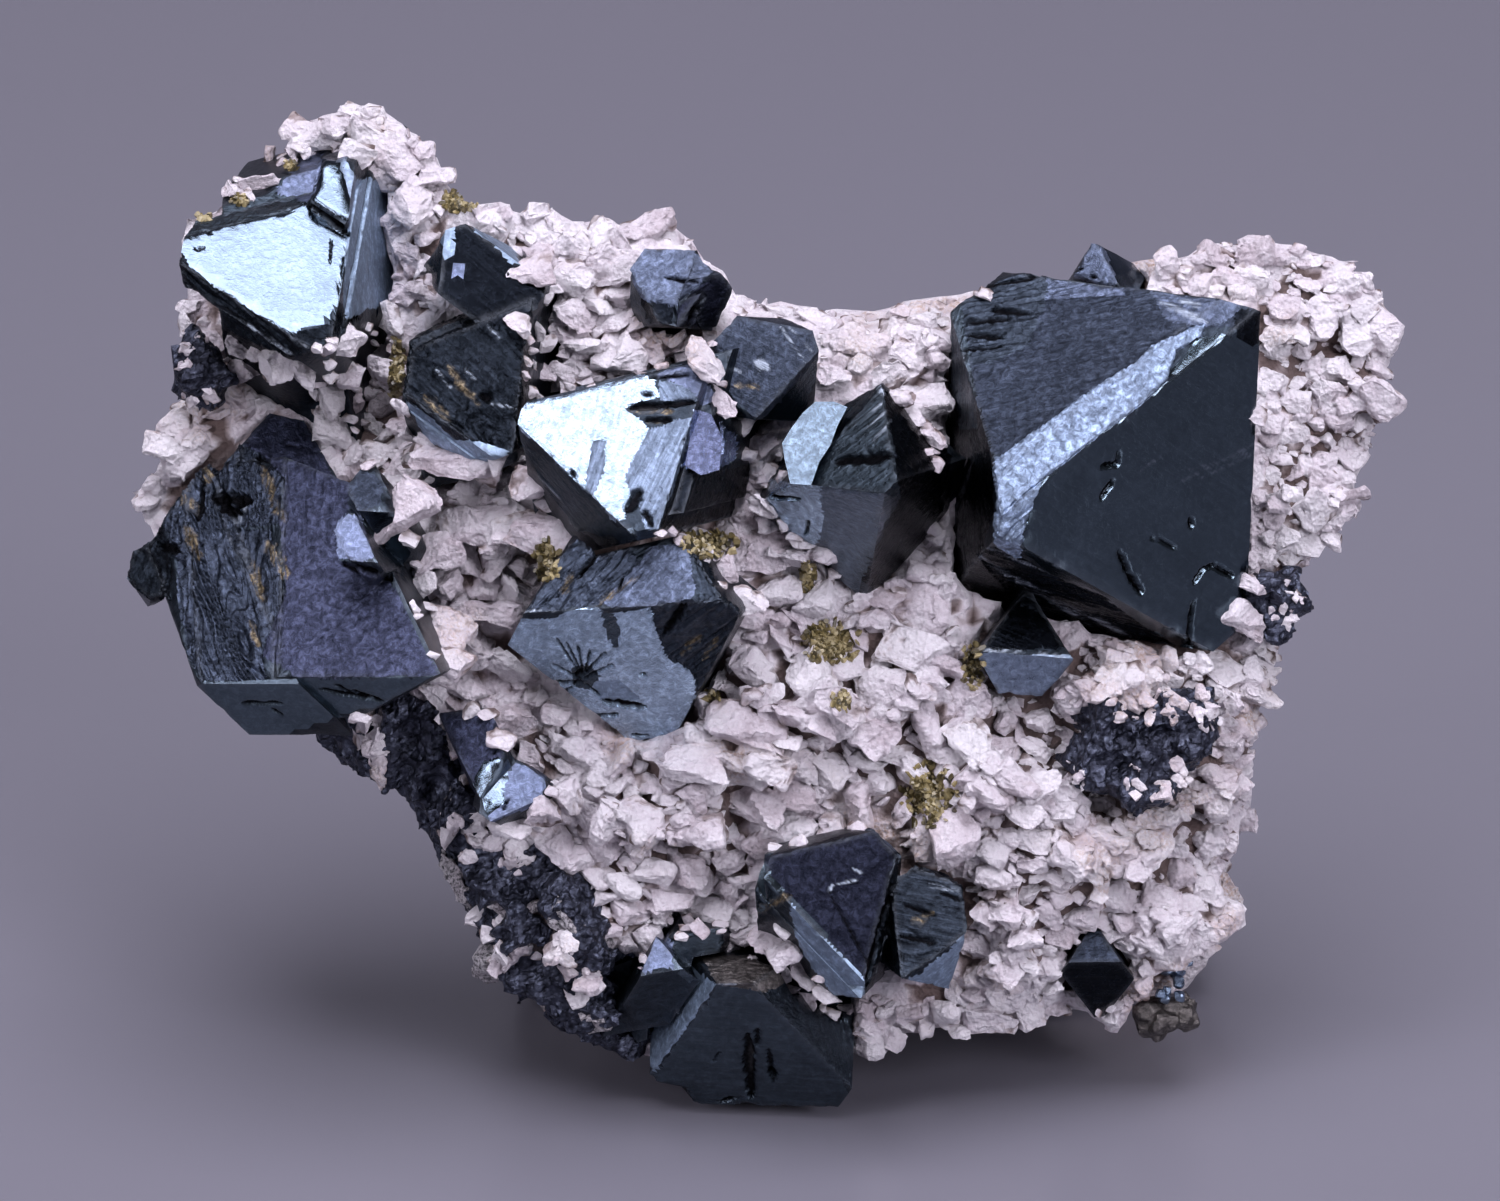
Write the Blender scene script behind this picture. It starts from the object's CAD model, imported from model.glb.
"""Fine shape, finish, light and camera of the magnetite specimen, laid over the solids of the frame."""

import math

import bpy
import numpy as np
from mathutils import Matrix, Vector
from mathutils.bvhtree import BVHTree
from mathutils.kdtree import KDTree


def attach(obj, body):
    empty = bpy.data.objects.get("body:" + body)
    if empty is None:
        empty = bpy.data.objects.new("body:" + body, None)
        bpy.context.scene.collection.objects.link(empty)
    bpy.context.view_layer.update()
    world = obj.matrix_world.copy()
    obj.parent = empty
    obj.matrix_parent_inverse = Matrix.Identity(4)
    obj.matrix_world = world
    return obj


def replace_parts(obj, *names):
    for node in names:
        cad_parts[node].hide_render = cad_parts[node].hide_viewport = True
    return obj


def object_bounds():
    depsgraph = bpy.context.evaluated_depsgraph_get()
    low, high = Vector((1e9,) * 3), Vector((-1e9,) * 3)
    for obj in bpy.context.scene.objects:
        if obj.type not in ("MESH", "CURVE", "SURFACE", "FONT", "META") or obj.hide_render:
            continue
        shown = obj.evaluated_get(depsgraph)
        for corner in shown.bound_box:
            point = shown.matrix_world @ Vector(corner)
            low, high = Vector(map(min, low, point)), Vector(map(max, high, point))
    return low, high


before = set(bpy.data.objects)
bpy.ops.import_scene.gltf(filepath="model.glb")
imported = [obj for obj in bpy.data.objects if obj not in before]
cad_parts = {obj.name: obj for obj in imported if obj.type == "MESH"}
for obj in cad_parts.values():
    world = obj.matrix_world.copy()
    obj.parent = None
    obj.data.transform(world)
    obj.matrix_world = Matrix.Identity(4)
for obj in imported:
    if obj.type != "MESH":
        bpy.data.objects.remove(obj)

# Layout of the face, as in the part: x to the right, w up the face, n out of it, in millimetres.
MM = 0.001
LEAN_BACK = math.radians(20.0)
SEEN_FROM = 600.0
FACE_HEIGHT = 38.6
FACE_FORWARD = -11.6
FACE_SIDEWAYS = -1.0
RIGHT = np.array((1.0, 0.0, 0.0))
UP = np.array((0.0, math.sin(LEAN_BACK), math.cos(LEAN_BACK)))
OUT = np.array((0.0, -math.cos(LEAN_BACK), math.sin(LEAN_BACK)))
MIDDLE = np.array((FACE_SIDEWAYS, FACE_FORWARD, FACE_HEIGHT))
AXES = np.stack((RIGHT, UP, OUT))
PICTURE_WIDTH = 107.85
SENSOR = 36.0
CLIP_START = 0.05

SEED = 17

# Numbers that stand for far away and, as lengths and as areas, for next to nothing.
FAR = 1e9
TINY = 1e-9
LEAST = 1e-15


def ring(*numbers):
    """Spots on the face from their x and w, one after the other, in millimetres."""
    return np.array(numbers, float).reshape(-1, 2)


def face(finish, direction, lift, *numbers):
    """An area of a crystal: outline, finish, direction of the striation and how far it stands out."""
    return ring(*numbers), finish, direction, lift


def strokes(kind, *numbers):
    """Lines of one kind on a crystal: for each x and w of its start, x and w of its end, and its width."""
    return [(row[:2], row[2:4], row[4], kind) for row in np.array(numbers, float).reshape(-1, 5)]


# Outline of the feldspar as seen from the front, clockwise from the upper left.
OUTLINE = ring(-41.6, 27.9, -37.0, 30.4, -34.2, 32.5, -31.3, 35.1, -28.8, 36.0, -26.6, 35.8, -26.0, 34.5,
    -23.4, 33.5, -22.3, 30.6, -22.4, 28.4, -19.6, 28.2, -16.5, 28.6, -14.5, 28.4, -14.2, 27.0, -10.8, 27.0,
    -6.8, 27.7, -3.6, 25.2, -0.7, 22.0, 3.6, 20.9, 9.3, 20.5, 11.1, 21.2, 13.7, 21.6, 15.1, 21.7, 18.7, 23.0,
    23.7, 23.4, 28.8, 24.3, 31.3, 24.3, 33.4, 25.9, 39.9, 25.7, 41.0, 24.6, 45.7, 23.8, 46.9, 22.3,
    47.2, 18.7, 46.2, 14.1, 45.3, 9.4, 43.1, 5.1, 42.4, 2.9, 40.3, 2.6, 39.9, 0.0, 38.1, -6.4, 36.3, -10.4,
    36.8, -12.2, 36.3, -15.8, 34.4, -18.3, 34.8, -23.0, 32.7, -26.6, 31.6, -28.7, 30.9, -30.2, 25.9, -29.8,
    21.6, -30.2, 20.1, -31.6, 16.9, -31.7, 7.9, -32.0, 0.7, -33.0, -7.9, -33.0, -13.7, -31.6, -18.0, -26.6,
    -20.1, -20.8, -23.0, -15.4, -25.2, -14.3, -28.8, -11.1, -32.4, -8.6, -36.7, -6.4, -40.3, -2.8, -42.6, 2.2,
    -44.7, 7.2, -42.6, 11.5, -41.1, 15.9, -41.8, 21.6, -41.6, 25.2)

# Areas of the face by the look of the feldspar in them.
COARSE_AREAS = (
    ring(-27.0, 11.5, -20.1, 12.3, -13.7, 7.2, -13.7, 2.9, -16.5, -2.8, -13.7, -8.6, -18.0, -11.5,
        -22.3, -6.4, -25.2, 2.9),
    ring(-4.3, 5.8, 5.0, 5.8, 15.1, 0.0, 18.0, -11.5, 15.1, -17.2, 9.3, -16.5, 0.7, -15.8, -3.6, -11.5,
        -3.6, -5.7, 0.7, 0.0),
)
FINE_AREAS = (
    ring(36.0, 26.6, 48.2, 25.9, 48.2, 2.9, 39.5, -1.4, 38.8, -7.2, 37.4, -21.5, 33.8, -31.6, 23.7, -29.4,
        21.6, -21.5, 22.3, -11.5, 25.9, -5.7, 36.0, -4.3),
    ring(22.3, -1.4, 36.0, -2.8, 38.8, -11.5, 35.2, -21.5, 32.4, -25.8, 22.3, -23.0, 20.9, -11.5),
)
DARK_FLANK = ring(-32.4, -8.2, -27.3, -8.6, -23.0, -7.7, -21.7, -11.5, -18.0, -16.4, -13.7, -17.9,
    -10.8, -21.5, -9.9, -24.4, -7.9, -25.8, -7.2, -34.5, -15.1, -34.5, -22.3, -27.3, -25.2, -18.7,
    -33.1, -11.5)
LIE_OF_SLABS = math.radians(-25.0)
CRUST_STRIPS = 7
# How far a crystal is drawn back into the rock outside its seen outline, in millimetres, where it isn't 1.8.
MOST_SUNK = {"magnetite_upper_left": 8.0, "magnetite_left": 6.0}
# The broken lower edge of a crystal, as it is seen from left to right.
LOWER_EDGES = {
    "magnetite_bottom": ring(-7.9, -34.3, -7.2, -34.5, -4.5, -35.0, -4.4, -35.5, -3.8, -36.4, -3.2, -36.8,
        -2.4, -36.8, -1.7, -36.3, -1.2, -36.5, -0.4, -36.0, 0.4, -36.2, 1.0, -36.6, 1.8, -36.8, 2.4, -36.2,
        3.2, -36.4, 4.5, -36.3, 5.8, -36.6, 7.2, -36.1, 7.9, -35.3),
}


def place(x, w, n):
    """The point at depth n that is seen at x and w on the face, in metres."""
    nearer = (SEEN_FROM - n) / SEEN_FROM
    return (MIDDLE + RIGHT * x * nearer + UP * w * nearer + OUT * n) * MM


EYE = place(0.0, 0.0, SEEN_FROM)


def seen(points):
    """x, w and depth of points in metres, as three columns in millimetres."""
    local = (np.atleast_2d(points) / MM - MIDDLE) @ AXES.T
    nearer = SEEN_FROM / (SEEN_FROM - local[:, 2])
    return np.stack((local[:, 0] * nearer, local[:, 1] * nearer, local[:, 2]), axis=1)


def inside(spots, outline):
    """Which of the seen spots lie inside an outline."""
    hit = np.zeros(len(spots), bool)
    x, w = spots[:, 0], spots[:, 1]
    for (x0, w0), (x1, w1) in zip(outline, np.roll(outline, -1, axis=0)):
        crosses = (w0 > w) != (w1 > w)
        at = (x1 - x0) * (w - w0) / (w1 - w0 if w1 != w0 else 1e-9) + x0
        hit ^= crosses & (x < at)
    return hit


def edge_distance(spots, outline):
    """How far seen spots are from an outline, in millimetres."""
    best = np.full(len(spots), FAR)
    for start, end in zip(outline, np.roll(outline, -1, axis=0)):
        best = np.minimum(best, line_distance(spots, start, end)[0])
    return best


def inside_depth(spots, outline):
    """How far seen spots lie inside an outline, in millimetres, with a minus sign outside it."""
    return edge_distance(spots, outline) * np.where(inside(spots, outline), 1.0, -1.0)


def held_inside(points, outline, over, above):
    """Points in millimetres, drawn back to an outline as it is seen where they pass it by more than over.
    Only points that are seen higher than above are moved."""
    spots = seen(points * MM)
    best = np.full(len(spots), FAR)
    pull = np.zeros((len(spots), 2))
    for start, end in zip(outline, np.roll(outline, -1, axis=0)):
        away, share = line_distance(spots, start, end)
        near = start + share[:, None] * (end - start)
        nearer = away < best
        best = np.where(nearer, away, best)
        pull = np.where(nearer[:, None], near - spots[:, :2], pull)
    moved = (spots[:, 1] > above) & ~inside(spots, outline)
    pull *= (np.where(moved, np.maximum(best - over, 0.0), 0.0) / np.maximum(best, TINY))[:, None]
    return points + pull[:, :1] * RIGHT + pull[:, 1:] * UP


def line_distance(spots, start, end):
    """Distance of seen spots from a stretch, and how far along it they lie, from 0 to 1."""
    run = end - start
    share = np.clip(((spots[:, :2] - start) @ run) / max(run @ run, TINY), 0.0, 1.0)
    near = start + share[:, None] * run
    return np.linalg.norm(spots[:, :2] - near, axis=1), share


# Multipliers that spread lattice numbers and seeds over 32 bits.
LATTICE_X, LATTICE_Y, LATTICE_Z = (np.uint32(factor) for factor in (73856093, 19349663, 83492791))
LATTICE_MIX = np.uint32(1274126177)
LATTICE_SEED = 2654435761


def lattice(x, y, z, seed):
    """A repeatable random number from 0 to 1 for each lattice corner."""
    mixed = x * LATTICE_X ^ y * LATTICE_Y ^ z * LATTICE_Z
    mixed ^= np.uint32((seed * LATTICE_SEED) & 0xFFFFFFFF)
    mixed = (mixed ^ (mixed >> np.uint32(13))) * LATTICE_MIX
    mixed ^= mixed >> np.uint32(16)
    return (mixed & np.uint32(0xFFFFFF)) / 16777215.0


def lattice_cells(points, size):
    """Points in steps of a lattice, moved well above zero, and the lattice corner below each."""
    scaled = points / size + 1000.0
    corner = np.floor(scaled).astype(np.int64)
    return scaled, corner


def noise(points, size, seed):
    """Smooth noise from -1 to 1 over points in millimetres, with features of the given size."""
    scaled, corner = lattice_cells(points, size)
    part = scaled - corner
    part = part * part * (3.0 - 2.0 * part)
    corner = corner.astype(np.uint32)
    total = np.zeros(len(points))
    for shift in np.ndindex(2, 2, 2):
        share = np.where(shift, part, 1.0 - part)
        x, y, z = (corner + np.array(shift, np.uint32)).T
        total += lattice(x, y, z, seed) * share[:, 0] * share[:, 1] * share[:, 2]
    return total * 2.0 - 1.0


def rough_noise(points, size, seed, octaves=3):
    """Several layers of noise, each half the size and strength of the one before."""
    total = np.zeros(len(points))
    for i in range(octaves):
        total += noise(points, size / 2**i, seed + 7 * i) / 2**i
    return total


def step(value, low, high):
    """0 below low, 1 above high and smooth between."""
    share = np.clip((value - low) / (high - low), 0.0, 1.0)
    return share * share * (3.0 - 2.0 * share)


def make_mesh(name, points, faces, material, slot, facets=None, smooth=True, **marks):
    """An object from points in metres and triangles, riding on the specimen. Marks are values of its points
    or of its triangles. Facets number its flat faces, whose borders become sharp."""
    mesh = bpy.data.meshes.new(name)
    mesh.vertices.add(len(points))
    mesh.vertices.foreach_set("co", np.ascontiguousarray(points, np.float32).ravel())
    mesh.loops.add(len(faces) * 3)
    mesh.loops.foreach_set("vertex_index", np.ascontiguousarray(faces, np.int32).ravel())
    mesh.polygons.add(len(faces))
    mesh.polygons.foreach_set("loop_start", np.arange(0, len(faces) * 3, 3, dtype=np.int32))
    mesh.polygons.foreach_set("loop_total", np.full(len(faces), 3, np.int32))
    mesh.update(calc_edges=True)
    mesh.validate()
    mesh.polygons.foreach_set("use_smooth", np.full(len(mesh.polygons), smooth))
    for key, values in marks.items():
        domain = "POINT" if len(values) == len(points) else "FACE"
        kind = "FLOAT" if values.ndim == 1 else "FLOAT_VECTOR"
        layer = mesh.attributes.new(key, kind, domain)
        layer.data.foreach_set("value" if kind == "FLOAT" else "vector", values.astype(np.float32).ravel())
    if facets is not None:
        mark_sharp(mesh, facets)
    mesh.materials.append(material)
    made = bpy.data.objects.new(name, mesh)
    bpy.context.scene.collection.objects.link(made)
    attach(made, "root")
    return made


def mark_sharp(mesh, facets):
    """Marks the edges between different facets as sharp."""
    edge_of = np.empty(len(mesh.loops), np.int32)
    mesh.loops.foreach_get("edge_index", edge_of)
    owner = np.repeat(facets, 3)
    low = np.full(len(mesh.edges), 1 << 30)
    high = np.full(len(mesh.edges), -1)
    np.minimum.at(low, edge_of, owner)
    np.maximum.at(high, edge_of, owner)
    layer = mesh.attributes.new("sharp_edge", "BOOLEAN", "EDGE")
    layer.data.foreach_set("value", low != high)


def arrays_of(mesh):
    """Points and triangles of a mesh."""
    mesh.calc_loop_triangles()
    points = np.empty(len(mesh.vertices) * 3, np.float32)
    mesh.vertices.foreach_get("co", points)
    faces = np.empty(len(mesh.loop_triangles) * 3, np.int32)
    mesh.loop_triangles.foreach_get("vertices", faces)
    return points.reshape(-1, 3).astype(float), faces.reshape(-1, 3)


def merged(points, faces, decimals):
    """Points and triangles with equal points made one."""
    keys = np.round(points * 10**decimals).astype(np.int64)
    _, first, index = np.unique(keys, axis=0, return_index=True, return_inverse=True)
    return points[first], index.reshape(-1)[faces]


def solid_of(node):
    """Points and triangles of a node of the frame, with equal points made one."""
    points, faces = merged(*arrays_of(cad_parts[node].data), 6)
    whole = (faces[:, 0] != faces[:, 1]) & (faces[:, 1] != faces[:, 2]) & (faces[:, 0] != faces[:, 2])
    return points, faces[whole]


def crosses_of(points, faces):
    """For each triangle a vector along its normal, as long as twice its area."""
    a, b, c = (points[faces[:, i]] for i in range(3))
    return np.cross(b - a, c - a)


def normals_of(points, faces):
    """Unit normals and areas of triangles."""
    cross = crosses_of(points, faces)
    size = np.linalg.norm(cross, axis=1)
    return cross / np.maximum(size, LEAST)[:, None], size / 2.0


def point_normals(points, faces):
    """Unit normals at points."""
    cross = crosses_of(points, faces)
    total = np.zeros_like(points)
    for i in range(3):
        np.add.at(total, faces[:, i], cross)
    return total / np.maximum(np.linalg.norm(total, axis=1), LEAST)[:, None]


# Feldspar

TREES = {name: BVHTree.FromPolygons(*(part.tolist() for part in solid_of(name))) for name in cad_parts}


def look_at(x, w, trees=None):
    """What is seen first at a spot of the face: its name, the point and the normal."""
    aim = Vector(place(x, w, 0.0) - EYE).normalized()
    best = None
    for name, tree in (trees or TREES).items():
        spot, normal, _, distance = tree.ray_cast(Vector(EYE), aim)
        if spot is not None and (best is None or distance < best[3]):
            best = (name, np.array(spot), np.array(normal), distance)
    return best


def cube_grid(cells):
    """Points on a cube from -1 to 1 with the given cells along each side, and its triangles."""
    line = np.linspace(-1.0, 1.0, cells + 1)
    u, v = np.meshgrid(line, line, indexing="ij")
    one = np.ones_like(u)
    sides = []
    for axis in range(3):
        for sign in (-1, 1):
            parts = [None, None, None]
            parts[axis] = one * sign
            parts[(axis + 1) % 3] = u if sign > 0 else v
            parts[(axis + 2) % 3] = v if sign > 0 else u
            sides.append(np.stack(parts, axis=-1).reshape(-1, 3))
    count = (cells + 1) ** 2
    corner = (np.arange(cells)[:, None] * (cells + 1) + np.arange(cells)[None, :]).ravel()
    quads = np.stack((corner, corner + cells + 1, corner + cells + 2, corner + 1), axis=1)
    faces = np.concatenate((quads[:, [0, 1, 2]], quads[:, [0, 2, 3]]))
    return merged(np.concatenate(sides), np.concatenate([faces + count * i for i in range(6)]), 5)


# How freely an axis that is given only roughly turns about its direction.
FREE_TURN = 0.35


def turned(rng, normal, spread, along=None):
    """Three axes at right angles: the last near the given direction, the first near along, if given."""
    third = normal + rng.normal(size=3) * spread
    third /= np.linalg.norm(third)
    first = rng.normal(size=3) if along is None else along + rng.normal(size=3) * FREE_TURN
    first -= third * (first @ third)
    first /= np.linalg.norm(first)
    return np.stack((first, np.cross(third, first), third))


# Broken grains: how many corners each loses and how near its middle the breaks go, where a ledge on it
# starts and how much of its height a ledge leaves, then the size of the crumbs on it and the grain sizes
# that they grow with.
LOST_CORNERS = 8
BREAKS = (0.5, 1.0)
LEDGE_START = (-0.2, 0.9)
LEDGE_HEIGHT = (0.3, 0.8)
CRUMB = 0.9
CRUMBLING_SIZES = (0.6, 2.2)


def lumps(spots, axes, sizes, cells, seed, boxy=9.0, crumble=0.04, ledges=False):
    """Broken grains: boxes with lost corners and a crumbled surface. All lengths are in millimetres."""
    base, base_faces = cube_grid(cells)
    rng = np.random.default_rng(seed)
    count = len(spots)
    shape = np.repeat(base[None], count, axis=0)
    shape = shape / np.sum(np.abs(shape) ** boxy, axis=2, keepdims=True) ** (1.0 / boxy)
    for _ in range(LOST_CORNERS):
        normal = rng.normal(size=(count, 3))
        normal /= np.linalg.norm(normal, axis=1, keepdims=True)
        reach = rng.uniform(*BREAKS, size=(count, 1))
        over = np.maximum(np.einsum("npk,nk->np", shape, normal) - reach, 0.0)
        shape = shape - over[:, :, None] * normal[:, None, :]
    if ledges:
        turn = rng.uniform(0.0, 2.0 * math.pi, size=(count, 1))
        along = shape[:, :, 0] * np.cos(turn) + shape[:, :, 1] * np.sin(turn)
        low = (along > rng.uniform(*LEDGE_START, size=(count, 1))) & (shape[:, :, 2] > 0.0)
        shape[:, :, 2] *= np.where(low, rng.uniform(*LEDGE_HEIGHT, size=(count, 1)), 1.0)
    outward = shape / np.maximum(np.linalg.norm(shape, axis=2, keepdims=True), TINY)
    points = np.einsum("npk,nkj->npj", shape * sizes[:, None, :] / 2.0, axes)
    outward = np.einsum("npk,nkj->npj", outward, axes)
    flat = (points + spots[:, None, :]).reshape(-1, 3)
    offset = np.repeat(rng.uniform(-50, 50, size=(count, 3)), len(base), axis=0)
    bumps = rough_noise(flat + offset, CRUMB, seed, 2)
    small = np.repeat(sizes.min(axis=1), len(base))
    flat = flat + outward.reshape(-1, 3) * (bumps * crumble * np.clip(small, *CRUMBLING_SIZES))[:, None]
    faces = (base_faces[None] + (np.arange(count) * len(base))[:, None, None]).reshape(-1, 3)
    return flat, faces, np.repeat(np.arange(count), len(base))


# What turns one random number of a cell into its grain's spot, lean and tone, then how far apart the grains'
# heights lie, how strongly their tops lean and how wide the gaps between them are, all as shares of their
# size.
SPOT_FACTORS = (97.0, 389.0, 1543.0)
LEAN_FACTORS = (211.0, 557.0, 1009.0)
TONE_FACTOR = 6151.0
HEIGHT_SPREAD = 1.2
LEAN_OF_TOPS = 1.8
GAP_WIDTH = 0.22


def three_of(code, factors):
    """Three repeatable random numbers from 0 to 1 for each random number."""
    return np.stack([code * factor % 1.0 for factor in factors], axis=1)


def grain_noise(points, size, seed):
    """Broken angular grains: height, how deep in a gap between two grains, and a tone for each grain."""
    scaled, corner = lattice_cells(points, size)
    first = np.full(len(points), 9.0)
    second = np.full(len(points), 9.0)
    away_from, code_of = np.zeros((len(points), 3)), np.zeros(len(points))
    for shift in np.ndindex(3, 3, 3):
        cell = corner + shift - 1
        x, y, z = cell.astype(np.uint32).T
        code = lattice(x, y, z, seed)
        gap = scaled - cell - three_of(code, SPOT_FACTORS)
        away = np.einsum("ij,ij->i", gap, gap)
        nearer = away < first
        second = np.where(nearer, first, np.minimum(second, away))
        first = np.where(nearer, away, first)
        away_from[nearer] = gap[nearer]
        code_of[nearer] = code[nearer]
    tone = code_of * TONE_FACTOR % 1.0
    lean = three_of(code_of, LEAN_FACTORS) - 0.5
    height = (tone - 0.5) * HEIGHT_SPREAD + np.einsum("ij,ij->i", away_from, lean) * LEAN_OF_TOPS
    gap = 1.0 - step(np.sqrt(second) - np.sqrt(first), 0.0, GAP_WIDTH)
    return height, gap, tone * 2.0 - 1.0


def area_of(x, w):
    """Which look the feldspar has at a spot."""
    spot = np.array([[x, w]])
    if any(inside(spot, area)[0] for area in COARSE_AREAS):
        return "coarse"
    if any(inside(spot, area)[0] for area in FINE_AREAS):
        return "fine"
    return "middle"


# The grains of each look: shortest and longest in millimetres, thinnest and thickest, how near the rock's
# outline they may lie, how much they lean up, out and with what carries them, how freely they turn, and how
# much of the lift of their round they get. Thickness and nearness are shares of the length.
GRAINS = {
    "coarse": ((2.8, 5.2), (0.34, 0.65), 0.18, (0.7, 0.7, 0.2), 0.45, 1.0),
    "middle": ((1.9, 3.7), (0.40, 0.75), 0.18, (0.7, 0.7, 0.2), 0.45, 1.0),
    "fine": ((1.3, 3.4), (0.40, 0.75), 0.26, (0.4, 1.0, 0.4), 0.42, 0.25),
}

# Rounds of grains, from the large proud ones to the small ones that fill in: share of the full size, how
# close they lie, how many are tried and how far they stand out as a share of their length.
ROUNDS = ((1.0, 0.56, 9000, 0.12), (0.62, 0.40, 14000, 0.10), (0.36, 0.28, 26000, 0.12))
# From which share of the full size on a grain only fills a gap, and the mesh of the grains in millimetres.
FILLING_SHARE = 0.5
MESH_OF_GRAINS = 0.43

# The part of the face where spots are tried: from left to right and from bottom to top, in millimetres.
FACE_SPAN = ((-46, 48), (-33, 37))

# Grains on a crystal and beside the crystals: how far they keep from the crystals' outlines, as a share of
# their length, and how much prouder than others they are.
FREE_SHARE = {True: 0.18, False: 0.27}
PROUD_ON_CRYSTALS = 0.22
# The least room round a grain's middle, how far neighbours keep apart as a share of their length, length and
# width as shares of it, and the most room that is counted. Lengths are in millimetres.
LEAST_FREE = 0.05
NEIGHBOUR_SHARE = 0.38
WIDTHS = ((1.0, 1.25), (0.7, 1.0))
MOST_ROOM = 9.0


def spread_spots(rng, count, span=FACE_SPAN):
    """Random spots on the face."""
    return np.column_stack([rng.uniform(*ends, count) for ends in span])


def clearance(spots):
    """How far seen spots lie inside the rock's outline, and how far outside every crystal's."""
    room = np.full(len(spots), MOST_ROOM)
    for outline in [row[0] for row in CRYSTALS.values()] + [CORNER_OUTLINE]:
        room = np.minimum(room, -inside_depth(spots, outline))
    return inside_depth(spots, OUTLINE), np.where(inside(spots, DARK_FLANK), -MOST_ROOM, room)


def crust_grains(trees):
    """Middle, axes and size of each grain of the face, and whether it only fills a gap."""
    rng = np.random.default_rng(SEED)
    taken = {True: np.zeros((0, 3)), False: np.zeros((0, 3))}
    grains = []
    lie = RIGHT * math.cos(LIE_OF_SLABS) + UP * math.sin(LIE_OF_SLABS)
    for share, spacing, tries, lift in ROUNDS:
        spots = spread_spots(rng, tries)
        for (x, w), border, free in zip(spots, *clearance(spots)):
            if free < LEAST_FREE or border < LEAST_FREE:
                continue
            lengths, thickness, rim, (up, out, rock), spread, lifted = GRAINS[area_of(x, w)]
            length = rng.uniform(*lengths) * share
            if border < rim * length:
                continue
            hit = look_at(x, w, trees)
            if hit is None or hit[0].startswith("granular"):
                continue
            buried = hit[0].endswith("crystal")
            if free < length * FREE_SHARE[buried]:
                continue
            near = taken[buried]
            gaps = np.hypot(near[:, 0] - x, near[:, 1] - w) - near[:, 2] * NEIGHBOUR_SHARE
            if len(near) and np.min(gaps) < length * spacing * 0.5:
                continue
            taken[buried] = np.vstack((near, (x, w, length)))
            axes = turned(rng, UP * up + OUT * out + hit[2] * rock, spread, lie)
            thick = rng.uniform(*thickness)
            size = np.array([length * rng.uniform(*ends) for ends in WIDTHS] + [length * thick])
            proud = lift * lifted + PROUD_ON_CRYSTALS * buried
            grains.append((hit[1] / MM + OUT * proud * length, axes, size, float(share < FILLING_SHARE)))
    return grains


# Pale grains on the dark flank and on the other granular masses: size of their patches, how much is left
# bare, and the shortest and the longest grain. Then their width and thickness, and how deep they sit, as
# shares of the length.
PALE = {True: (3.6, 0.40, (0.8, 2.6)), False: (2.4, 0.14, (0.4, 1.5))}
PALE_WIDTHS = ((0.6, 0.95), (0.3, 0.6))
PALE_SINK = 0.06
PALE_TRIES = 14000


def pale_grains(carriers):
    """Grains of feldspar in patches over the dark granular masses, as crust_grains gives them."""
    rng = np.random.default_rng(SEED + 9)
    spots = spread_spots(rng, PALE_TRIES)
    grains = []
    for x, w in spots[inside(spots, OUTLINE)]:
        hit = look_at(x, w, carriers)
        if hit is None or not hit[0].startswith("granular"):
            continue
        patch, bare, lengths = PALE["flank" in hit[0]]
        if rough_noise(hit[1][None] / MM, patch, 31, 2)[0] < bare:
            continue
        length = rng.uniform(*lengths)
        size = length * np.array([1.0] + [rng.uniform(*ends) for ends in PALE_WIDTHS])
        grains.append((hit[1] / MM - hit[2] * length * PALE_SINK, turned(rng, hit[2], FREE_TURN), size, 0.0))
    return grains


def fused(name, points, faces, voxel):
    """One closed skin round meshes that overlap. All lengths are in millimetres."""
    mesh = bpy.data.meshes.new(name)
    mesh.from_pydata((points * MM).tolist(), [], faces.tolist())
    helper = bpy.data.objects.new(name, mesh)
    bpy.context.scene.collection.objects.link(helper)
    remesh = helper.modifiers.new("remesh", "REMESH")
    remesh.mode = "VOXEL"
    remesh.voxel_size = voxel * MM
    graph = bpy.context.evaluated_depsgraph_get()
    dense = bpy.data.meshes.new_from_object(helper.evaluated_get(graph))
    bpy.data.objects.remove(helper, do_unlink=True)
    points, faces = arrays_of(dense)
    return points / MM, faces


# Cavities: rounds of smoothing, the depth of a deep one in millimetres, and the range of their marks.
SMOOTHING_ROUNDS = 12
DEEP_CAVITY = 0.22
CAVITY_RANGE = (-1.0, 1.5)


def cavity_of(points, faces, normals):
    """How deep points lie under the smoothed surface, as a share of a deep cavity."""
    ends = np.concatenate((faces[:, [0, 1]], faces[:, [1, 2]], faces[:, [2, 0]]))
    count = np.maximum(np.bincount(ends[:, 0], minlength=len(points)), 1)
    smooth = points
    for _ in range(SMOOTHING_ROUNDS):
        sums = [np.bincount(ends[:, 0], smooth[ends[:, 1], i], len(points)) for i in range(3)]
        smooth = np.stack(sums, axis=1) / count[:, None]
    return np.einsum("ij,ij->i", smooth - points, normals) / DEEP_CAVITY


# The rock's surface: how far the seen outline may be passed in millimetres, and only above which height it
# is held, how much of the depth of its coarse and fine grains the gaps between them get, and the size of its
# broad swells.
OUTLINE_SLACK = 0.25
HELD_ABOVE = 0.0
COARSE_GAPS = 0.7
FINE_GAPS = 0.5
SWELL = 3.1
# How far the surface is turned to the front where the crust starts to cover it, and where it covers it all.
UNDER_CRUST = (0.35, 0.85)


def wavered(points):
    """Points moved a little, so that the borders of the grains of grain_noise aren't straight."""
    return points + noise(points, 1.1, 5)[:, None] * 0.3


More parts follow.
